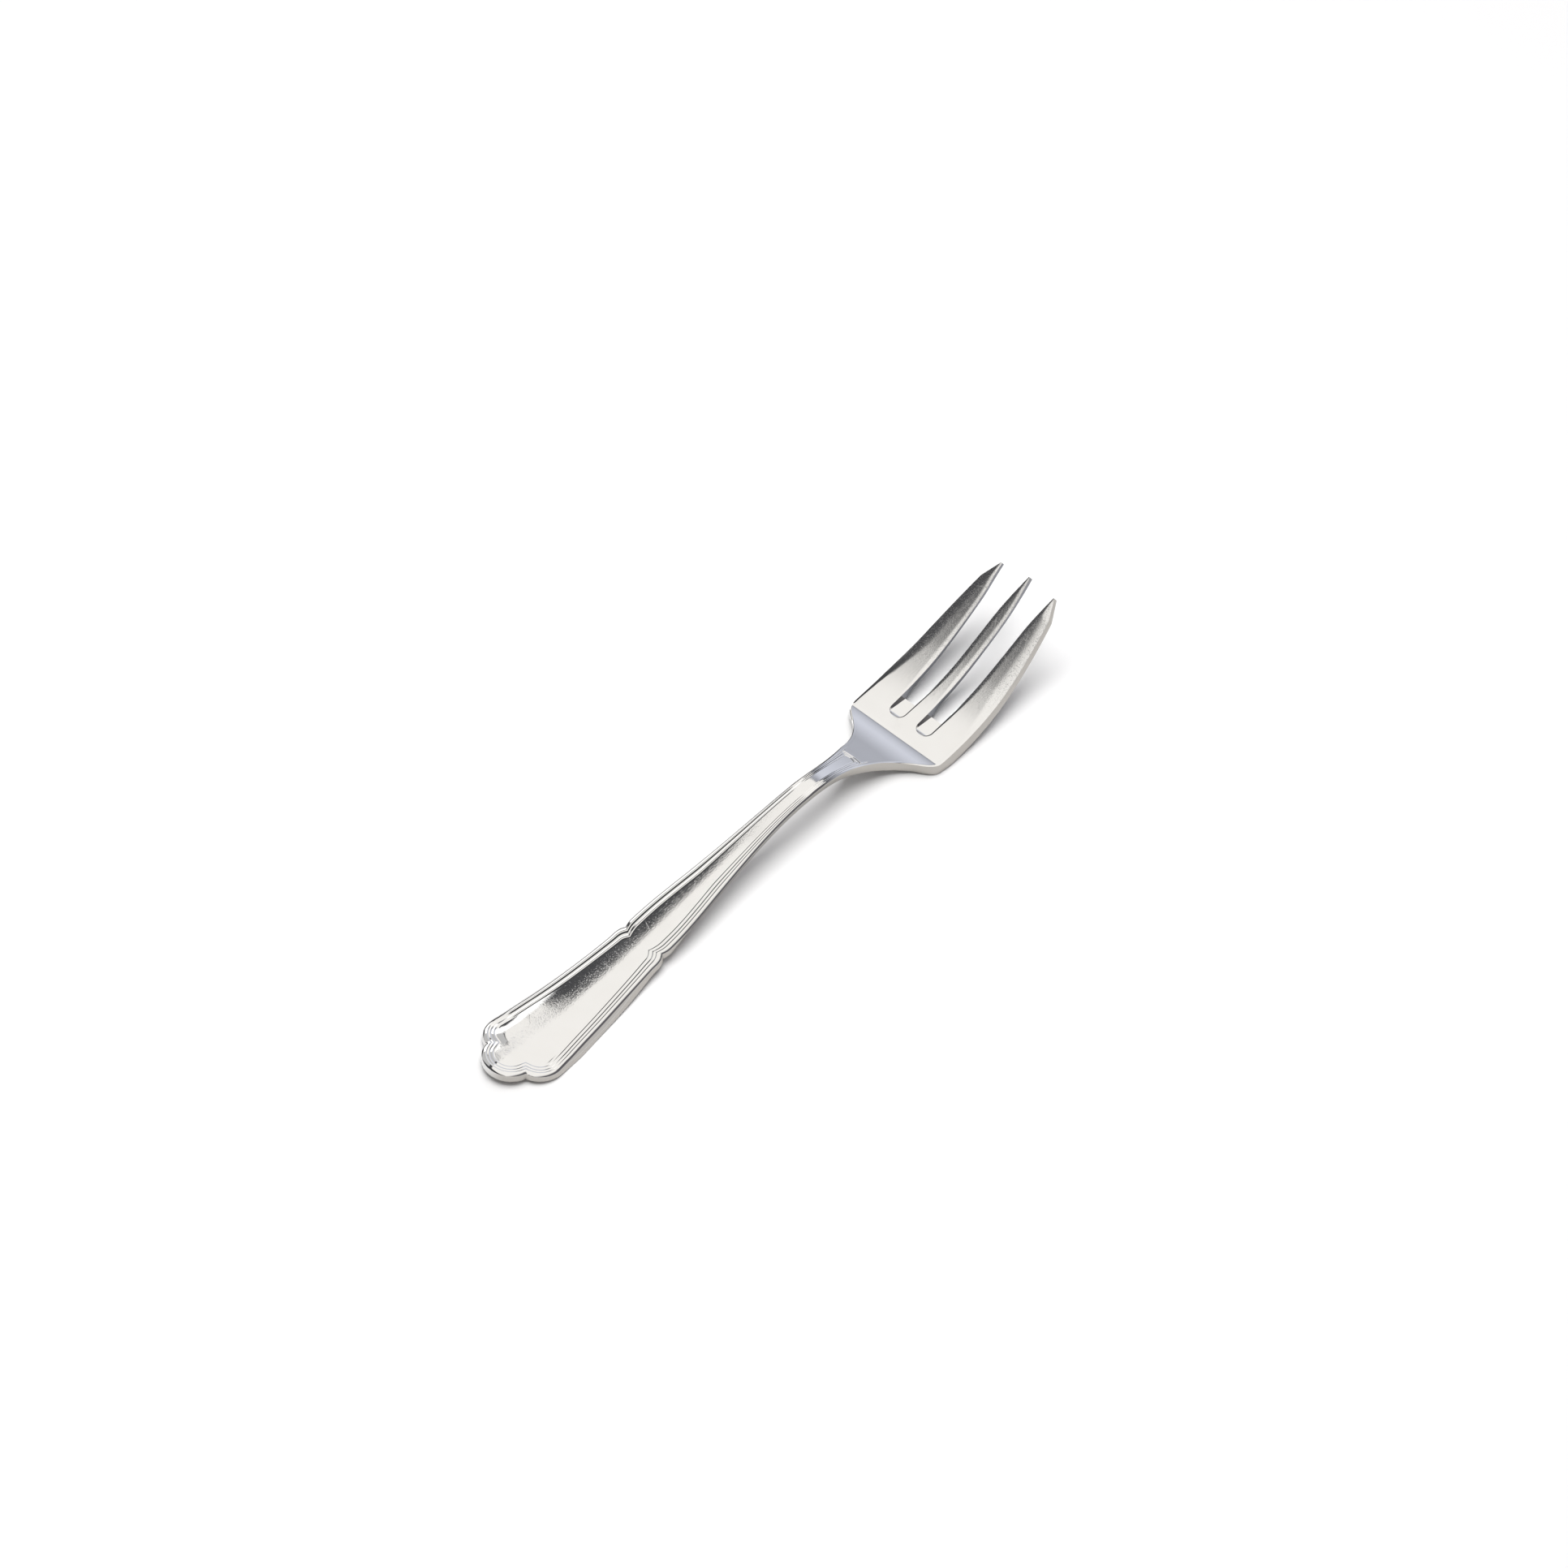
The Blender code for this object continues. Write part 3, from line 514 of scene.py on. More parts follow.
def half_outline():
    """Right half of the outline as rows of (x, u), with the rows of the border's end and of the slot root.
    The notch is where the end lobe's circle crosses the side lobe's: with the centres a gap g apart, it lies
    (g^2 + r1^2 - r2^2) / 2g along the line between them, and off it by what is left of r1."""
    lift = SIDE_LOBE_AT - END_LOBE_RADIUS
    gap = math.hypot(SIDE_X, lift)
    along_gap = (gap**2 + END_LOBE_RADIUS**2 - SIDE_LOBE_RADIUS**2) / (2.0 * gap)
    off_gap = math.sqrt(END_LOBE_RADIUS**2 - along_gap**2)
    notch_x = (along_gap * SIDE_X + off_gap * lift) / gap
    notch_u = END_LOBE_RADIUS + (along_gap * lift - off_gap * SIDE_X) / gap
    end = circle(0.0, END_LOBE_RADIUS, END_LOBE_RADIUS, np.linspace(
        -math.pi / 2.0, math.atan2(notch_u - END_LOBE_RADIUS, notch_x), 27))
    end[0, 0] = 0.0
    side = circle(SIDE_X, SIDE_LOBE_AT, SIDE_LOBE_RADIUS, np.linspace(
        math.atan2(notch_u - SIDE_LOBE_AT, notch_x - SIDE_X), SIDE_TILT, 35))[1:]
    lower = stations((SIDE_START, CUSP_AT - LOWER_LOBE_REACH, 56),
                     (CUSP_AT - LOWER_LOBE_REACH, CUSP_AT, 17))[1:]
    upper = stations((CUSP_AT, CUSP_AT + UPPER_LOBE_REACH, 11), (CUSP_AT + UPPER_LOBE_REACH, NECK_AT, 80),
                     (NECK_AT, BORDER_END_AT, 40))[1:]
    flare = stations((BORDER_END_AT, BORDER_END_AT + 0.5, 9), (BORDER_END_AT + 0.5, FLARE_AT, 24),
                     (FLARE_AT, SHOULDER_AT, 15), (SHOULDER_AT, SLOT_ROOT_AT, 9))[1:]
    rows = np.concatenate([lower, upper, flare, tine_rows[1:]])
    width = np.where(rows <= CUSP_AT, curve(LOWER_SIDE, rows), curve(UPPER_SIDE, rows))
    past = np.clip((rows - BEVEL_AT) / BEVEL_LENGTH, 0.0, 1.0)
    bevel = BEVEL_WIDTH / 2.0 + (TIP_X + TIP_BLUNT / 2.0 - BEVEL_WIDTH / 2.0) * past
    width = np.where(rows > BEVEL_AT, bevel, width)
    points = np.concatenate([end, side, np.stack([width, rows - OUTER_TIP_BACK * past], -1)])
    border_row = len(end) + len(side) + len(lower) + len(upper) - 1
    return points, border_row, border_row + len(flare)


edge, border_row, root_row = half_outline()
print("outline:", len(edge), "points on one side")

# %% [markdown]
# The lines of the border run parallel to the edge, so the outline needs its inward normals. A mitre, the
# normal of both neighbours at once, brings the lines to a point at a notch or a cusp. Through the small
# lobe on each side of the cusp the normals turn gradually to its mitre, so that the lines swing into it
# without a kink. Polishing has left the side walls slightly full, so the top's own outline lies a little
# inside the edge.

# %% Normals
WALL_BULGE = 0.07


def inward(points):
    """Inward normals of the half outline: the sum of the two neighbours' normals n and m over 1 + n.m, which
    is the mitre that keeps offset lines parallel. At the tip the left neighbour is the right one mirrored."""
    ahead = np.diff(points, axis=0)
    ahead = ahead / np.linalg.norm(ahead, axis=1, keepdims=True)
    before = np.concatenate([ahead[:1] * [1.0, -1.0], ahead])
    after = np.concatenate([ahead, ahead[-1:]])
    n = np.stack([-before[:, 1], before[:, 0]], -1)
    m = np.stack([-after[:, 1], after[:, 0]], -1)
    return (n + m) / (1.0 + (n * m).sum(1, keepdims=True))


normal = inward(edge)
cusp_row = int(np.argmin(np.abs(edge[:, 1] - CUSP_AT)))
for lobe_at in (CUSP_AT - LOWER_LOBE_REACH, CUSP_AT + UPPER_LOBE_REACH):
    lobe_row = int(np.argmin(np.abs(edge[:, 1] - lobe_at)))
    lobe = slice(min(lobe_row, cusp_row), max(lobe_row, cusp_row) + 1)
    turn = (((edge[lobe, 1] - lobe_at) / (CUSP_AT - lobe_at)) ** 2)[:, None]
    normal[lobe] = (1.0 - turn) * normal[lobe_row] + turn * normal[cusp_row]
outline = edge + WALL_BULGE * normal
outline[0, 0] = 0.0
outline[root_row:, 1] = edge[root_row:, 1]
across, along = outline.T
count = len(outline)
on_row = np.arange(count)
handle, front, tail = slice(0, border_row + 1), slice(border_row, root_row + 1), slice(root_row, count)
print("top's outline:", round(2.0 * float(across.max()), 2), "mm across")

# %% [markdown]
# The top of the blank is nearly flat. The handle is a shallow cylinder that flattens out toward the neck,
# and the border falls away from it to the edge. Along the head the edge is rounded over, and the rounding
# widens along the tines until it takes most of their width. A Bevel modifier would round all edges alike,
# so each rounding is a formula with its own width along the fork. All are drops below the middle line.

# %% Handle's curve and rolled edges
FIELD_CURVES = [
    (0.0, 0.012, 0.0),
    (SIDE_LOBE_AT + 5.0, 0.012, 0.0),
    (CUSP_AT - 17.0, 0.0185, 0.0),
    (SHANK_AT - 2.0, 0.0185, 0.0),
    (SHANK_AT + 14.0, 0.0, 0.0),
    (LENGTH, 0.0, 0.0),
]
EDGE_ROLLS = [
    (0.0, 0.11, 0.0),
    (NECK_AT, 0.09, 0.0),
    (FLARE_AT, 0.07, 0.0),
    (SLOT_ROOT_AT, 0.09, 0.005),
    (SLOT_ROOT_AT + 10.0, 0.25, 0.03),
    (SLOT_ROOT_AT + 16.0, 0.4, 0.0),
    (BEVEL_AT, 0.32, 0.0),
    (LENGTH, 0.32, 0.0),
]
EDGE_ROLL_WIDTHS = [
    (0.0, 0.47, 0.0),
    (NECK_AT, 0.42, 0.0),
    (FLARE_AT, 0.42, 0.0),
    (SLOT_ROOT_AT, 0.52, 0.03),
    (SLOT_ROOT_AT + 10.0, 1.5, 0.18),
    (SLOT_ROOT_AT + 16.0, 2.5, 0.02),
    (BEVEL_AT, 1.9, 0.0),
    (LENGTH, 1.9, 0.0),
]


def field_drop(x, u):
    """Handle's field: a cylinder, k x^2, with k read along the fork."""
    return curve(FIELD_CURVES, u) * x**2


def neck_mix(u):
    """0 on the handle, 1 where the border ends."""
    return ease(u, NECK_AT + 2.0, BORDER_END_AT)


def roll(distance, drop, width):
    """Rounding of an edge: a parabola that dies out at the given distance."""
    return drop * (1.0 - np.minimum(distance / width, 1.0)) ** 2


def edge_roll(distance, u):
    """Rounding along the outline, with its drop and width read along the fork."""
    return roll(distance, curve(EDGE_ROLLS, u), curve(EDGE_ROLL_WIDTHS, u))


print("edge rounding:", EDGE_ROLL_WIDTHS[0][1], "mm wide at the handle's end, up to",
      max(width for _, width, _ in EDGE_ROLL_WIDTHS), "mm on the tines")

# %% [markdown]
# The slots leave three tapering tines. Their roots are half circles, so the distance to a slot is that to a
# circle near the root and that to a straight side further on. It drives the rounding of the tines' edges. A
# Boolean could cut the slots, but it leaves long thin faces, which a mirror finish shows. Here rows of
# points run along the slots from the start.

# %% Slots
MIDDLE_SIDE = [
    (SLOT_ROOT_AT + SLOT_RADIUS, MIDDLE_TINE_WIDTH / 2.0, -0.02),
    (SLOT_ROOT_AT + 19.0, 0.845 * MIDDLE_TINE_WIDTH / 2.0, -0.005),
    (BEVEL_AT - 4.5, 0.78 * MIDDLE_TINE_WIDTH / 2.0, -0.04),
    (LENGTH, TIP_BLUNT / 2.0, -0.19),
]
INNER_SIDE = [
    (SLOT_ROOT_AT + SLOT_RADIUS, SLOT_X + SLOT_RADIUS, 0.01),
    (SLOT_ROOT_AT + 19.0, SLOT_X + SLOT_RADIUS + 0.24, 0.02),
    (BEVEL_AT - 3.7, SLOT_X + SLOT_RADIUS + 0.49, 0.04),
    (OUTER_END, TIP_X - TIP_BLUNT / 2.0, 0.1),
]
SLOT_ROLLS = [
    (SLOT_ROOT_AT, 0.012, 0.0),
    (SLOT_ROOT_AT + 5.0, 0.03, 0.012),
    (SLOT_ROOT_AT + 10.0, 0.13, 0.01),
    (LENGTH, 0.2, 0.0),
]
SLOT_ROLL_WIDTHS = [
    (SLOT_ROOT_AT, 0.22, 0.0),
    (SLOT_ROOT_AT + 6.0, 0.25, 0.02),
    (SLOT_ROOT_AT + 11.0, 0.6, 0.09),
    (SLOT_ROOT_AT + 16.0, 0.9, 0.0),
    (LENGTH, 0.8, 0.0),
]


def slot_sides(u):
    """Half width of the middle tine and inner side of the outer tine. Over the round root they part from the
    slot's middle by r sqrt(1 - (1 - t)^2), t being the share of the radius passed."""
    share = np.clip((u - SLOT_ROOT_AT) / SLOT_RADIUS, 0.0, 1.0)
    gap = SLOT_RADIUS * np.sqrt(1.0 - (1.0 - share) ** 2)
    inside = u < SLOT_ROOT_AT + SLOT_RADIUS
    return (np.where(inside, SLOT_X - gap, curve(MIDDLE_SIDE, u)),
            np.where(inside, SLOT_X + gap, curve(INNER_SIDE, u)))


def slot_roll(x, u):
    """Rounding beside a slot, by the distance to its side or to its round root. It grows along the tine."""
    middle, inner = slot_sides(np.maximum(u, SLOT_ROOT_AT + SLOT_RADIUS))
    straight = np.maximum(middle - x, x - inner)
    around = np.hypot(x - SLOT_X, u - SLOT_ROOT_AT - SLOT_RADIUS) - SLOT_RADIUS
    distance = np.maximum(np.where(u < SLOT_ROOT_AT + SLOT_RADIUS, around, straight), 0.0)
    at = np.maximum(u, SLOT_ROOT_AT)
    return roll(distance, curve(SLOT_ROLLS, at), curve(SLOT_ROLL_WIDTHS, at))


middle, inner = slot_sides(along)
print("slots:", SLOT_WIDTH, "mm wide at the root,",
      round(float(inner[-1] - TIP_BLUNT / 2.0), 2), "mm at the tips")

# %% [markdown]
# The border is what lifts this handle above a plain one: an edge bead and two threads, parted by fine
# coined grooves. From the field outward they fall in terraces, steep and gentle in turn, so that one
# catches the light while its neighbour is dark. On the handle each groove is a step with one wall, and on
# the neck the steps turn into plain grooves. There the whole border shrinks with the width. A displacement
# texture could draw it, but only as finely as the faces are. So its section is a formula of the depth
# inside the edge, and columns of points are set where it turns.

# %% Border
EDGE_BEAD = 0.95
THREAD_PITCH = 0.61
MARGIN = 0.26
BORDER_SLOPES = (0.36, 0.13, 0.34, 0.1)
GROOVE_DEPTHS = np.array([0.105, 0.065, 0.103])
GROOVE_HALF = 0.25
GROOVE_POWER = 1.4
BORDER_PER_WIDTH = 0.127
CLOSE_BOW = 0.25
CLOSE_RUN = 7.0
CUSP_LEAN = 0.37
CUSP_REACH = 2.2
CUSP_SWINGS = (0.2, 0.12)
CUSP_SWING_REACH = 2.0
TINE_BEAD_SHARE = 0.45
GROOVES = EDGE_BEAD + THREAD_PITCH * np.arange(3)
RIM = GROOVES[-1] + MARGIN
STEPS = np.concatenate([[0.0], GROOVES, [RIM]])
FALLS = np.concatenate([np.cumsum((np.diff(STEPS) * BORDER_SLOPES)[::-1])[::-1], [0.0]])


def coined(depth, stepped):
    """Section of the grooves. A plain groove is G (1 - t)^p deep, t being the distance to it over its half
    width. A step has the outer wall of that groove only, and everything outside it stands higher by G. The
    stepped share, 0 to 1, goes from the one to the other."""
    outward = (GROOVES - np.asarray(depth)[..., None]) / GROOVE_HALF
    plain = (GROOVE_DEPTHS * np.maximum(1.0 - np.abs(outward), 0.0) ** GROOVE_POWER).sum(-1)
    step = (GROOVE_DEPTHS * (np.clip(1.0 - outward, 0.0, 1.0) ** GROOVE_POWER - 1.0)).sum(-1)
    return plain + stepped * (step - plain)


def border_drop(depth):
    """Fall of the border from the field's rim outward: straight terraces, each with its own slope."""
    return np.interp(depth, STEPS, FALLS)


def cusp_lean(inset, at):
    """Shift of the border's lines towards the handle's end beside the cusp, which makes its mitre lean: the
    inset times a bell curve along the fork."""
    return CUSP_LEAN * inset * np.exp(-((at - CUSP_AT) / CUSP_REACH) ** 2)


def cusp_swing(inset, at):
    """Shift of the border's lines inward on either side of the cusp, so that they swing into it in a curve:
    their share of the border's width times t e^(1 - t), t being the distance to the cusp over a reach."""
    t = np.abs(at - CUSP_AT) / CUSP_SWING_REACH
    return np.where(at < CUSP_AT, *CUSP_SWINGS) * inset / RIM * t * np.exp(1.0 - t)


border = np.where(along < CUSP_AT, 1.0, np.minimum(1.0, 2.0 * BORDER_PER_WIDTH * across))
tine_room = TINE_BEAD_SHARE * (across - inner) / EDGE_BEAD
border = np.where(on_row > root_row + ROUND_ROOT_ROWS, np.minimum(border, tine_room), border)
rim_point = outline + normal * (RIM * border)[:, None]
rim_drop = field_drop(*rim_point.T)
mix = np.where(on_row <= border_row, neck_mix(along), 1.0)
print("border:", round(RIM, 2), "mm wide,", round(float(RIM * border[handle].min()), 2), "mm at the neck")

# %% [markdown]
# Patches follow: each is a grid of points, kept with a wear value for the finish. First the edge bead, from
# the outline to the first groove, right round the fork. Its columns are closest at the edge and in the
# groove, where the section turns most.

# %% Edge bead
STEPPED_UNTIL = (NECK_AT + 4.0, NECK_AT + 12.0)
GROOVE_FADE = 2.5
BORDER_WEAR = 0.12
TINE_WEAR = 0.55
TINE_WEAR_FROM = (SLOT_ROOT_AT + 3.0, SLOT_ROOT_AT + 14.0)
patches = []


def keep(points, wear):
    """Keep a grid of points, with one wear value for all of it or one for each row or point."""
    patches.append((points, np.broadcast_to(wear, points.shape[:2])))


groove_columns = GROOVE_HALF * np.array([-1.0, -0.75, -0.5, -0.28, -0.1, 0.0, 0.1, 0.28, 0.5, 0.75, 1.0])
bead_depths = np.concatenate([[0.0, 0.03, 0.07, 0.12, 0.18, 0.25, 0.33, 0.42, 0.52, 0.62, 0.71],
                              EDGE_BEAD + groove_columns[:6]])
bead_inset = bead_depths[None] * border[:, None]
bead = outline[:, None] + normal[:, None] * bead_inset[..., None]
bead[..., 1] -= cusp_lean(bead_inset, along[:, None])
bead[..., 0] -= cusp_swing(bead_inset, along[:, None])
bead_x, bead_u = bead[..., 0], bead[..., 1]
bead_drop = rim_drop[:, None] + border_drop(bead_depths)[None] * border[:, None]
bead_h = -(1.0 - mix[:, None]) * bead_drop - edge_roll(bead_inset, along[:, None])
stepped = 1.0 - ease(along, *STEPPED_UNTIL)
fade = 1.0 - np.clip((along - BORDER_END_AT) / GROOVE_FADE, 0.0, 1.0)
bead_h -= coined(bead_depths, stepped[:, None]) * (border * fade)[:, None]
bead_h -= np.where((on_row > root_row)[:, None], slot_roll(bead_x, bead_u), 0.0)
bead_points = bend(bead_x, bead_u, bead_h)
tine_wear = TINE_WEAR * ease(along, *TINE_WEAR_FROM)[:, None]
keep(bead_points, np.maximum(BORDER_WEAR, tine_wear))
print("edge bead:", bead_points.shape[0] * bead_points.shape[1], "points")

# %% [markdown]
# Then the threads. They run beside the bead, shorten towards the neck so that they can turn a mitred
# corner, and close across it in a slight bow. The columns of the head are chosen here, because the closing
# lines and the palm share them.

# %% Threads
tine_columns = 1.0 - np.linspace(1.0, 0.0, 15) ** 1.5
outer_columns = np.linspace(0.0, 1.0, 20) ** 1.25
split = SLOT_X / bead_x[root_row, -1]
columns = np.concatenate([split * tine_columns, split + (1.0 - split) * outer_columns[1:]])
thread_depths = np.concatenate([GROOVES[0] + groove_columns[5:], [GROOVES[0] + THREAD_PITCH / 2.0],
                                GROOVES[1] + groove_columns, [GROOVES[1] + THREAD_PITCH / 2.0],
                                GROOVES[2] + groove_columns, [RIM]])
thread_inset = thread_depths[None] * border[handle, None]
threads = outline[handle, None] + normal[handle, None] * thread_inset[..., None]
tangent = np.stack([normal[handle, 1], -normal[handle, 0]], -1)
closing = np.clip((along[handle] - BORDER_END_AT) / CLOSE_RUN + 1.0, 0.0, 1.0)
shorten = (thread_inset - thread_inset[:, :1]) * closing[:, None]
threads -= tangent[:, None] * shorten[..., None]
threads[..., 1] -= cusp_lean(thread_inset, along[handle, None])
threads[..., 0] -= cusp_swing(thread_inset, along[handle, None])
thread_drop = rim_drop[handle, None] + border_drop(thread_depths)[None] * border[handle, None]
thread_h = -(1.0 - mix[handle, None]) * thread_drop
to_middle = columns[::-1][1:, None]
close_x = to_middle * threads[-1, :, 0]
close_u = threads[-1, :, 1] + CLOSE_BOW * (1.0 - to_middle**2)
threads = np.concatenate([threads, np.stack([close_x, close_u], -1)])
thread_border = np.concatenate([border[handle], np.full(len(close_x), border[border_row])])[:, None]
thread_stepped = np.concatenate([stepped[handle], np.zeros(len(close_x))])[:, None]
thread_h = np.concatenate([thread_h, 0.0 * close_x]) - coined(thread_depths, thread_stepped) * thread_border
thread_h[handle, 0] = bead_h[handle, -1]
keep(bend(threads[..., 0], threads[..., 1], thread_h), BORDER_WEAR)
print("threads:", thread_h.size, "points")

# %% [markdown]
# The plain field fills the threads: each point of the rim is joined to one on the middle line, because one
# big face would be shaded unevenly. Towards the handle's end it rises from the rim in a slight pillow,
# which turns the reflections along the end lobes. Years of drawers and dishwashers have left it the most
# scratched part of the fork.

# %% Field
FIELD_FLATS = [
    (0.0, 0.001, 0.0),
    (SIDE_LOBE_AT + 5.0, 0.001, 0.0),
    (CUSP_AT - 15.0, 0.0185, 0.0),
    (SHANK_AT - 2.0, 0.0185, 0.0),
    (SHANK_AT + 14.0, 0.0, 0.0),
    (LENGTH, 0.0, 0.0),
]
PILLOW_WIDTH = 2.8
PILLOW_RISE = 0.165
PILLOW_UNTIL = (11.0, 19.0)
FIELD_END_ROOM = 0.9
FIELD_NECK_ROOM = 0.5
LEAST_STEP = 0.3
FIELD_WEAR = 1.0
RIM_WEAR = 0.15
RIM_WEAR_UNTIL = 0.06
FIELD_WEAR_UNTIL = (56.0, 74.0)


def spread_along(line):
    """Share of the way along a line of points, by their steps along the fork. A step counts for at least
    LEAST_STEP of its whole length, so that the points of a round end part on the middle line too."""
    lengths = np.linalg.norm(np.diff(line, axis=0), axis=1)
    steps = np.maximum(np.diff(line[:, 1]), LEAST_STEP * lengths)
    return np.concatenate([[0.0], np.cumsum(steps)]) / steps.sum()


rim = threads[:, -1]
middle_start, middle_end = rim[0, 1] + FIELD_END_ROOM, rim[-1, 1] - FIELD_NECK_ROOM
field_middle = middle_start + spread_along(rim) * (middle_end - middle_start)
part = np.linspace(0.0, 1.0, 19)[None] ** 1.3
field_x = rim[:, :1] * (1.0 - part)
field_u = rim[:, 1:] + (field_middle[:, None] - rim[:, 1:]) * part
from_rim = np.hypot(field_x - rim[:, :1], field_u - rim[:, 1:])
field_h = PILLOW_RISE * (1.0 - ease(field_u, *PILLOW_UNTIL)) - curve(FIELD_FLATS, field_u) * field_x**2
field_h += roll(from_rim, thread_h[:, -1:] - field_h[:, :1], PILLOW_WIDTH)
worn = ease(part, 0.0, RIM_WEAR_UNTIL) * (1.0 - ease(field_u, *FIELD_WEAR_UNTIL))
keep(bend(field_x, field_u, field_h), RIM_WEAR + (FIELD_WEAR - RIM_WEAR) * worn)
print("field:", field_h.size, "points")

# %% [markdown]
# Neck and palm run from the closed border to the slot roots. The groove of the border fades out into them,
# and the neck is the least scratched part of the top. They share their points with the threads, the bead
# and the slots, so that the top is one smooth skin without a seam.

# %% Neck and palm
NECK_WEAR = 0.04
PALM_WEAR = 0.15
rim_x, rim_u = bead_x[front, -1], bead_u[front, -1]
palm_bow = CLOSE_BOW * np.linspace(1.0, 0.0, len(rim_x)) ** 2
palm_x = rim_x[:, None] * columns
palm_u = rim_u[:, None] + palm_bow[:, None] * (1.0 - columns**2)
groove_half = GROOVE_HALF * border[border_row]
beside = 1.0 - (rim_x[:, None] - palm_x) / groove_half
past_line = 1.0 - (along[front, None] - BORDER_END_AT) / groove_half
close_to = np.maximum(np.maximum(beside, 0.0) ** GROOVE_POWER * fade[front, None],
                      np.maximum(past_line, 0.0) ** GROOVE_POWER)
palm_inset = EDGE_BEAD * border[front, None] + rim_x[:, None] - palm_x
palm_h = -edge_roll(palm_inset, along[front, None]) - slot_roll(palm_x, palm_u)
palm_h -= GROOVE_DEPTHS[0] * border[border_row] * close_to
palm_h[:, -1] = bead_h[front, -1]
palm_h[0] = thread_h[border_row:, 0][::-1]
palm_wear = NECK_WEAR + (PALM_WEAR - NECK_WEAR) * ease(along[front], FLARE_AT, SLOT_ROOT_AT)
keep(bend(palm_x, palm_u, palm_h), palm_wear[:, None])
print("neck and palm:", palm_h.size, "points")

# %% [markdown]
# The tines carry the flat palm on, and each is rounded along its own edges. The middle one reaches a little
# further than its neighbours.

# %% Tines
rows = along[tail]
middle_half = slot_sides(tine_rows)[0]
mid_x = middle_half[:, None] * tine_columns
mid_u = tine_rows[:, None] + 0.0 * mid_x
mid_h = -slot_roll(mid_x, mid_u)
mid_h[0] = palm_h[-1, :len(tine_columns)]
mid_u[0] = palm_u[-1, :len(tine_columns)]
mid_points = bend(mid_x, mid_u, mid_h)
keep(mid_points, tine_wear[tail])

reach = bead_x[tail, -1:] - inner[tail, None]
out_x = inner[tail, None] + reach * outer_columns
out_u = rows[:, None] + (bead_u[tail, -1:] - rows[:, None]) * outer_columns
out_inset = (EDGE_BEAD * border[tail])[:, None] + (1.0 - outer_columns) * reach
out_h = -edge_roll(out_inset, rows[:, None]) - slot_roll(out_x, out_u)
out_h[0] = palm_h[-1, len(tine_columns) - 1:]
out_u[0] = palm_u[-1, len(tine_columns) - 1:]
out_h[:, -1] = bead_h[tail, -1]
out_points = bend(out_x, out_u, out_h)
keep(out_points, tine_wear[tail])
print("tines:", mid_h.size + out_h.size, "points")

# %% [markdown]
# At each slot root the punch leaves a short ramp: a floor that dives from the palm and stops at a straight
# lip. A small step at the root sets it off from the palm.

# %% Slot ramps
RAMP_WEAR = 0.1
ramp_rows = int(np.argmin(np.abs(rows - RAMP_END)))
ramp = slice(0, ramp_rows + 1)
floor_x = middle[tail][ramp, None] + (inner[tail] - middle[tail])[ramp, None] * np.linspace(0.0, 1.0, 9)
floor_u = rows[ramp, None] + 0.0 * floor_x
floor_h = (mid_h[0, -1] - RAMP_STEP * ease(floor_u, SLOT_ROOT_AT, SLOT_ROOT_AT + RAMP_STEP_LENGTH)
           - (RAMP_DROP - RAMP_STEP) * (floor_u - SLOT_ROOT_AT) / RAMP_LENGTH)
floor_u[0] = mid_u[0, -1]
floor_points = bend(floor_x, floor_u, floor_h)


def between(top, bottom, steps):
    """Points from each of a top line to its own on a bottom line, in equal steps."""
    share = np.linspace(0.0, 1.0, steps + 1)[:, None]
    return top[:, None] * (1.0 - share) + bottom[:, None] * share


keep(floor_points, RAMP_WEAR)
keep(between(mid_points[ramp, -1], floor_points[:, 0], 2), RAMP_WEAR)
keep(between(out_points[ramp, 0], floor_points[:, -1], 2), RAMP_WEAR)
print("ramps:", floor_h.size, "points each")

# %% [markdown]
# The back is plain, as on most cutlery: it follows the bend at the blank's thickness, and its edges are
# broken. Along the handle's end and the head it is a little wider than the top, because the walls slope
# outward. Along the neck and in the slots it is narrower: there the walls lean in, and mirror the ground. A
# Solidify modifier would press the border through to the back, so the back is a surface of its own.

# %% Back's outline
HANDLE_FLARE = 0.75
PLAIN_FLARE = 0.1
NECK_UNDERCUT = -0.5
HEAD_FLARE = 0.3
WALL_FLARES = [
    (0.0, 0.0, 0.0),
    (SIDE_LOBE_AT, 0.3 * HANDLE_FLARE, 0.08 * HANDLE_FLARE),
    (SIDE_LOBE_AT + 7.5, HANDLE_FLARE, 0.0),
    (CUSP_AT - 13.0, 0.9 * HANDLE_FLARE, -0.03 * HANDLE_FLARE),
    (CUSP_AT - 1.0, PLAIN_FLARE, 0.0),
    (CUSP_AT + 9.0, NECK_UNDERCUT, 0.0),
    (FLARE_AT - 1.0, NECK_UNDERCUT, 0.0),
    (SHOULDER_AT, PLAIN_FLARE, 0.05),
    (SLOT_ROOT_AT, HEAD_FLARE, 0.0),
    (BEVEL_AT, 0.8 * HEAD_FLARE, 0.0),
    (LENGTH, 0.3 * HEAD_FLARE, 0.0),
]
flare = curve(WALL_FLARES, along)
back_outline = outline - normal * flare[:, None]
back_outline[root_row:, 1] = along[root_row:]
back_across, back_along = back_outline.T
print("back:", round(2.0 * float(back_across.max()), 2), "mm across")

# %% [markdown]
# The back's surface has the same patches as the top: one up to the slot roots, the three tines, and the
# underside of the two ramps, which share its columns.

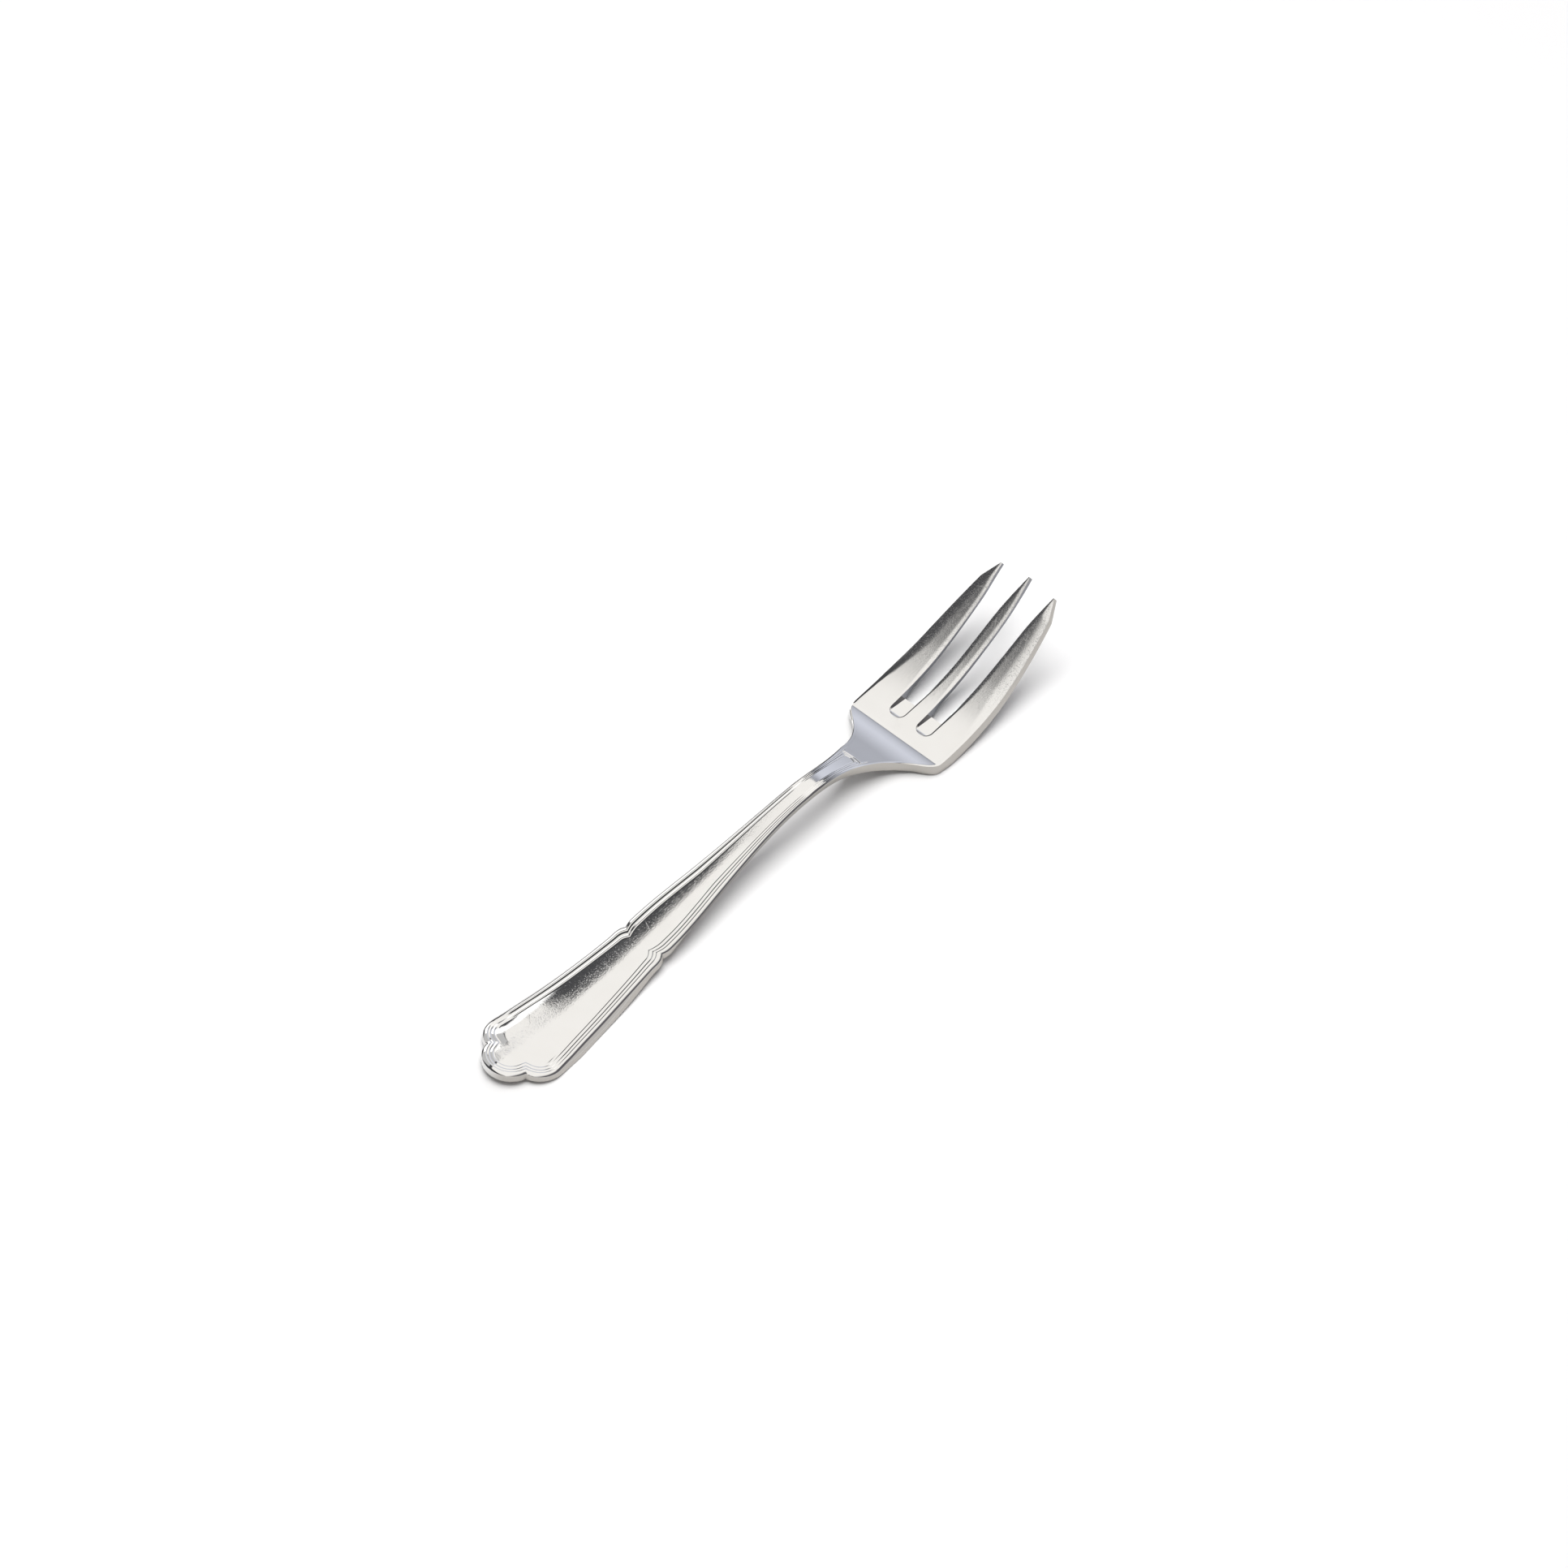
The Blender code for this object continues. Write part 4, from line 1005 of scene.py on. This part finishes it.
# %% Back
SLOT_UNDERCUT = 0.5
UNDERCUT_RUN = 4.0
UNDERCUT_PER_WIDTH = 0.6
BACK_ROLL = 0.2
BACK_ROLL_WIDTH = 0.7
BACK_END_ROOM = 2.0
BACK_WEAR = 0.45
back_tine = 1.0 - np.linspace(1.0, 0.0, 9) ** 1.5
back_outer = (1.0 - np.cos(np.linspace(0.0, math.pi, 15))) / 2.0
back_split = SLOT_X / back_across[root_row]
back_columns = np.concatenate([back_split * back_tine, back_split + (1.0 - back_split) * back_outer[1:]])
lead = slice(0, root_row + 1)
back_middle = BACK_END_ROOM + spread_along(outline[lead]) * (SLOT_ROOT_AT - BACK_END_ROOM)
back_x = back_across[lead, None] * back_columns
back_u = back_along[lead, None] + (back_middle - back_along[lead])[:, None] * (1.0 - back_columns**2)
back_h = -curve(THICKNESS, back_u)
back_inset = np.hypot(back_across[lead, None] - back_x, back_along[lead, None] - back_u)
back_h += roll(back_inset, BACK_ROLL, BACK_ROLL_WIDTH)
back_points = bend(back_x, back_u, back_h)
keep(back_points, BACK_WEAR)

open_tine = np.where(rows > RAMP_END + 0.01, 1.0, 0.0)[:, None]
undercut = SLOT_UNDERCUT * np.minimum(1.0, UNDERCUT_PER_WIDTH * middle_half)
undercut *= ease(rows, RAMP_END, RAMP_END + UNDERCUT_RUN)
back_half = (middle_half - undercut)[:, None]
back_mid_x = back_half * back_tine
back_mid_u = tine_rows[:, None] + 0.0 * back_mid_x
back_mid_h = -curve(THICKNESS, back_mid_u)
back_mid_h += open_tine * roll(back_half - back_mid_x, BACK_ROLL, BACK_ROLL_WIDTH)
back_mid = bend(back_mid_x, back_mid_u, back_mid_h)
keep(back_mid, BACK_WEAR)
back_inner = (inner[tail] + undercut)[:, None]
back_reach = back_across[tail, None] - back_inner
back_out_x = back_inner + back_reach * back_outer
back_out_u = rows[:, None] + 0.0 * back_out_x
back_out_h = -curve(THICKNESS, back_out_u)
back_out_h += open_tine * roll(back_reach * back_outer, BACK_ROLL, BACK_ROLL_WIDTH)
back_out_h += roll(back_reach * (1.0 - back_outer), BACK_ROLL, BACK_ROLL_WIDTH)
back_out = bend(back_out_x, back_out_u, back_out_h)
keep(back_out, BACK_WEAR)
under_u = rows[ramp, None] + 0.0 * floor_x
back_floor = bend(floor_x, under_u, -curve(THICKNESS, under_u))
keep(back_floor, BACK_WEAR)
keep(between(floor_points[-1], back_floor[-1], 2), RAMP_WEAR)
print("back's surface:", back_h.size + back_mid_h.size + back_out_h.size, "points")

# %% [markdown]
# Side walls close the solid: round the outline, where polishing has left them slightly full, and along the
# slots. At the end of a ramp the slot's wall passes through the lip, so its middle row is put there. Each
# tip is closed with one small face.

# %% Walls and tips
WALL_STEPS = 8
WALL_FULLNESS = 0.04
WALL_WEAR = 0.03
SLOT_WALL_STEPS = 4
rim_back = np.concatenate([back_points[:, -1], back_out[1:, -1]])
wall = between(bead_points[:, 0], rim_back, WALL_STEPS)
down = np.linspace(0.0, 1.0, WALL_STEPS + 1)
full = (WALL_BULGE + WALL_FULLNESS * flare[:, None]) * 4.0 * down * (1.0 - down)
outward = -normal
outward[root_row:, 1] = 0.0
wall[..., :2] += full[..., None] * outward[:, None]
keep(wall, WALL_WEAR)
open_rows = slice(ramp_rows, len(rows))
slot_mid = between(mid_points[open_rows, -1], back_mid[open_rows, -1], SLOT_WALL_STEPS)
slot_out = between(out_points[open_rows, 0], back_out[open_rows, 0], SLOT_WALL_STEPS)
for slot_wall, lip in ((slot_mid, floor_points[-1, 0]), (slot_out, floor_points[-1, -1])):
    slot_wall[0, 2] = lip
    slot_wall[0, 1] = (slot_wall[0, 0] + lip) / 2.0
    slot_wall[0, 3] = (slot_wall[0, 4] + lip) / 2.0
    keep(slot_wall, WALL_WEAR)
tips = [np.concatenate([mid_points[-1], slot_mid[-1, 1:-1], back_mid[-1, ::-1]]),
        np.concatenate([out_points[-1], bead_points[-1, ::-1][1:], wall[-1, 1:-1], back_out[-1, ::-1],
                        slot_out[-1, ::-1][1:-1]])]
print("walls:", wall.shape[0] * wall.shape[1], "points")

# %% [markdown]
# The patches become one list of points and faces. Points are numbered patch by patch, and the quads come
# from the numbers of four neighbours. The other half is the same with x turned round and the faces
# reversed. A Mirror modifier could do that, but one plain mesh is easier to weld and to check. Then the
# fork is set on the floor, with its handle's end just inside the solid's box.

# %% Points and faces
TIP_WEAR = 0.3
ON_MIDDLE = 1e-4
END_ROOM = 0.02
verts, wears, faces, start = [], [], [], 0
for points, wear in patches:
    index = start + np.arange(points[..., 0].size).reshape(points.shape[:2])
    quads = np.stack([index[:-1, :-1], index[1:, :-1], index[1:, 1:], index[:-1, 1:]], -1)
    verts.append(points.reshape(-1, 3))
    wears.append(wear.reshape(-1))
    faces.append(quads.reshape(-1, 4))
    start += index.size
quads = np.concatenate(faces)
tip_faces = []
for points in tips:
    verts.append(points)
    wears.append(np.full(len(points), TIP_WEAR))
    tip_faces.append(np.arange(start, start + len(points)))
    start += len(points)
verts, wears = np.concatenate(verts), np.concatenate(wears)
verts[np.abs(verts[:, 0]) < ON_MIDDLE, 0] = 0.0
solid_end = 1000.0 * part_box("fork")[0].y
shift = np.array([0.0, solid_end + END_ROOM - verts[:, 1].min(), -verts[:, 2].min()])
verts = np.concatenate([verts, verts * [-1.0, 1.0, 1.0]]) + shift
all_faces = quads.tolist() + [face.tolist() for face in tip_faces]
all_faces += (quads[:, ::-1] + start).tolist() + [(face[::-1] + start).tolist() for face in tip_faces]
print("both halves:", len(verts), "points,", len(all_faces), "faces")

# %% [markdown]
# In the mesh, points that coincide are welded, and the normals are set to face out. Faces that meet at a
# sharp angle keep their edge, and all others are shaded smooth. The wear goes along as an attribute of the
# points.

# %% One closed mesh
WELD = 3e-7
SHARP_ANGLE = math.radians(38.0)
fork_mesh = bpy.data.meshes.new("steel_fork")
fork_mesh.from_pydata((verts * 0.001).tolist(), [], all_faces)
wear_values = fork_mesh.attributes.new("wear", "FLOAT", "POINT").data
wear_values.foreach_set("value", np.tile(wears, 2).astype(np.float32))
work = bmesh.new()
work.from_mesh(fork_mesh)
bmesh.ops.remove_doubles(work, verts=work.verts, dist=WELD)
bmesh.ops.recalc_face_normals(work, faces=work.faces)
loose = sum(len(rib.link_faces) != 2 for rib in work.edges)
print("closed mesh:", len(work.verts), "points,", len(work.faces), "faces,", loose, "open edges,",
      round(work.calc_volume(signed=True) * 1e9, 1), "cubic mm")
work.to_mesh(fork_mesh)
work.free()
fork_mesh.polygons.foreach_set("use_smooth", np.ones(len(fork_mesh.polygons), bool))
fork_mesh.set_sharp_from_angle(angle=SHARP_ANGLE)
steel_fork = bpy.data.objects.new("steel_fork", fork_mesh)
bpy.context.scene.collection.objects.link(steel_fork)
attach(steel_fork, "root")
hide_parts("fork")

# %% [markdown]
# The finish is a mirror polish that has been used: hair scratches in every direction and a fine grain of
# dents. A painted image would blur close up, and a pattern stays sharp. One scratch is drawn in each cell
# of a Voronoi pattern, turned by the cell's own random number, and another random number makes most of them
# faint. The group is used several times, from long sparse scratches down to dense short ones.

# %% Scratch group
scratch = bpy.data.node_groups.new("scratches", "ShaderNodeTree")
scratch.interface.new_socket("Vector", in_out="INPUT", socket_type="NodeSocketVector")
for name in ("Cells", "Width", "Length"):
    scratch.interface.new_socket(name, in_out="INPUT", socket_type="NodeSocketFloat")
scratch.interface.new_socket("Mask", in_out="OUTPUT", socket_type="NodeSocketFloat")
given = scratch.nodes.new("NodeGroupInput").outputs
in_cells = add_node(scratch, "ShaderNodeVectorMath", {0: given["Vector"], "Scale": given["Cells"]},
                    operation="SCALE").outputs[0]
cells = add_node(scratch, "ShaderNodeTexVoronoi", {"Vector": in_cells, "Scale": 1.0},
                 voronoi_dimensions="2D")
local = add_node(scratch, "ShaderNodeVectorMath", {0: in_cells, 1: cells.outputs["Position"]},
                 operation="SUBTRACT").outputs[0]
random = add_node(scratch, "ShaderNodeSeparateColor", {"Color": cells.outputs["Color"]}).outputs
turned = add_node(scratch, "ShaderNodeVectorRotate",
                  {"Vector": local, "Angle": maths(scratch, "MULTIPLY", random[0], 2.0 * math.pi)},
                  rotation_type="Z_AXIS").outputs[0]
from_centre = add_node(scratch, "ShaderNodeSeparateXYZ", {0: turned}).outputs
off_line = maths(scratch, "DIVIDE", maths(scratch, "ABSOLUTE", from_centre[1]), given["Width"])
off_end = maths(scratch, "DIVIDE", maths(scratch, "ABSOLUTE", from_centre[0]), given["Length"])
mask = maths(scratch, "MULTIPLY", maths(scratch, "SUBTRACT", 1.0, off_line, clamp=True),
             maths(scratch, "SUBTRACT", 1.0, off_end, clamp=True))
mask = maths(scratch, "MULTIPLY", mask, maths(scratch, "POWER", random[1], 2.0))
add_node(scratch, "NodeGroupOutput", {"Mask": mask})
print("scratch group:", len(scratch.nodes), "nodes")

# %% [markdown]
# How much of this shows comes from the wear value kept with each patch, which is surer than painting it on
# by hand: strong on the field, some on the tines, hardly any on the neck. A fork that lies in a drawer
# isn't worn evenly, so the wear is strongest just left of the middle and fades to the right. The tines,
# which meet plates and teeth, are worn right across.

# %% Polished steel: wear
TINES_FROM = (0.042, 0.056)
USED_FROM = (-0.0036, -0.0018)
USED_UNTIL = (-0.0007, 0.0007)
LEFT_WEAR = 0.4
RIGHT_WEAR = 0.2
WEAR_ON_TINES = 0.8
steel = bpy.data.materials.new("polished_steel_worn")
steel.use_nodes = True
tree = steel.node_tree
shader = tree.nodes["Principled BSDF"]
shader.inputs["Metallic"].default_value = 1.0
place = add_node(tree, "ShaderNodeTexCoord").outputs["Object"]
steel_x, steel_y = add_node(tree, "ShaderNodeSeparateXYZ", {0: place}).outputs[:2]
on_tines = ramp_between(tree, steel_y, *TINES_FROM)
used_side = maths(tree, "MULTIPLY", ramp_between(tree, steel_x, *USED_FROM, LEFT_WEAR, 1.0),
                  ramp_between(tree, steel_x, *USED_UNTIL, 1.0, RIGHT_WEAR))
used_side = maths(tree, "MAXIMUM", used_side, maths(tree, "MULTIPLY", on_tines, WEAR_ON_TINES))
patch_wear = add_node(tree, "ShaderNodeAttribute", attribute_name="wear").outputs["Fac"]
steel_wear = maths(tree, "MULTIPLY", patch_wear, used_side)
fork_mesh.materials.append(steel)
print("wear:", len(tree.nodes), "nodes")

# %% [markdown]
# The scratches add up into one height for a Bump node, together with the grain. Each layer gives the cells
# per metre, a scratch's width and length in cells, a shift that parts it from the other layers, and its
# weight.

# %% Polished steel: scratches and grain
LAYERS = [(260.0, 0.03, 0.9, 0.11, 1.0), (900.0, 0.1, 0.5, 0.37, 0.7), (2000.0, 0.2, 0.45, 0.73, 0.9),
          (3200.0, 0.3, 0.5, 0.53, 0.9)]
SHIFT_SHARE = 0.7
GRAIN = {"Scale": 3300.0, "Detail": 2.0, "Roughness": 0.6}
GRAIN_WEIGHT = 2.2
BUMP_DISTANCE = 0.000008
flat = add_node(tree, "ShaderNodeVectorMath", {0: place, 1: (1.0, 1.0, 0.0)},
                operation="MULTIPLY").outputs[0]


def scratches(cells, width, length, offset):
    """One layer of the scratch group, on the fork seen from above and shifted by the offset."""
    moved = add_node(tree, "ShaderNodeVectorMath", {0: flat, 1: (offset, offset * SHIFT_SHARE, 0.0)},
                     operation="ADD").outputs[0]
    layer = add_node(tree, "ShaderNodeGroup", node_tree=scratch)
    tree.links.new(moved, layer.inputs["Vector"])
    for name, value in (("Cells", cells), ("Width", width), ("Length", length)):
        layer.inputs[name].default_value = value
    return layer.outputs["Mask"]


all_scratches = 0.0
for cells_per_metre, width, length, offset, weight in LAYERS:
    all_scratches = maths(tree, "MULTIPLY_ADD", scratches(cells_per_metre, width, length, offset), weight,
                          all_scratches)
grain = add_node(tree, "ShaderNodeTexNoise", {"Vector": place, **GRAIN}).outputs[0]
relief = maths(tree, "SUBTRACT", maths(tree, "MULTIPLY", grain, GRAIN_WEIGHT), all_scratches)
relief = maths(tree, "MULTIPLY", relief, steel_wear)
bump = add_node(tree, "ShaderNodeBump", {"Height": relief, "Distance": BUMP_DISTANCE, "Strength": 1.0})
tree.links.new(bump.outputs[0], shader.inputs["Normal"])
print("scratches:", len(LAYERS), "layers")

# %% [markdown]
# The same marks dull the polish: a scratch scatters light where it lies, worn places are cloudy, and the
# tines are duller than the handle. The clouds also vary the steel's own colour by a trace.

# %% Polished steel: polish and tint
CLOUDS = {"Scale": 180.0, "Detail": 3.0}
POLISH = 0.055
CLOUD_DULLING = 0.12
MARK_DULLING = 0.35
MARK_DULLING_ON_TINES = 0.5
TINE_DULLING = 0.15
STEEL_DARKER = (0.70, 0.69, 0.675, 1.0)
STEEL_LIGHTER = (0.74, 0.735, 0.725, 1.0)
clouds = add_node(tree, "ShaderNodeTexNoise", {"Vector": place, **CLOUDS}).outputs[0]
marks = maths(tree, "MULTIPLY", all_scratches, steel_wear, clamp=True)
mark_dulling = maths(tree, "MULTIPLY_ADD", on_tines, MARK_DULLING_ON_TINES, MARK_DULLING)
polish = maths(tree, "MULTIPLY_ADD", maths(tree, "MULTIPLY", clouds, steel_wear), CLOUD_DULLING, POLISH)
polish = maths(tree, "MULTIPLY_ADD", marks, mark_dulling, polish)
polish = maths(tree, "MULTIPLY_ADD", on_tines, TINE_DULLING, polish)
tree.links.new(polish, shader.inputs["Roughness"])
tree.links.new(blend(tree, clouds, STEEL_DARKER, STEEL_LIGHTER), shader.inputs["Base Color"])
print("polished steel:", len(tree.nodes), "nodes")
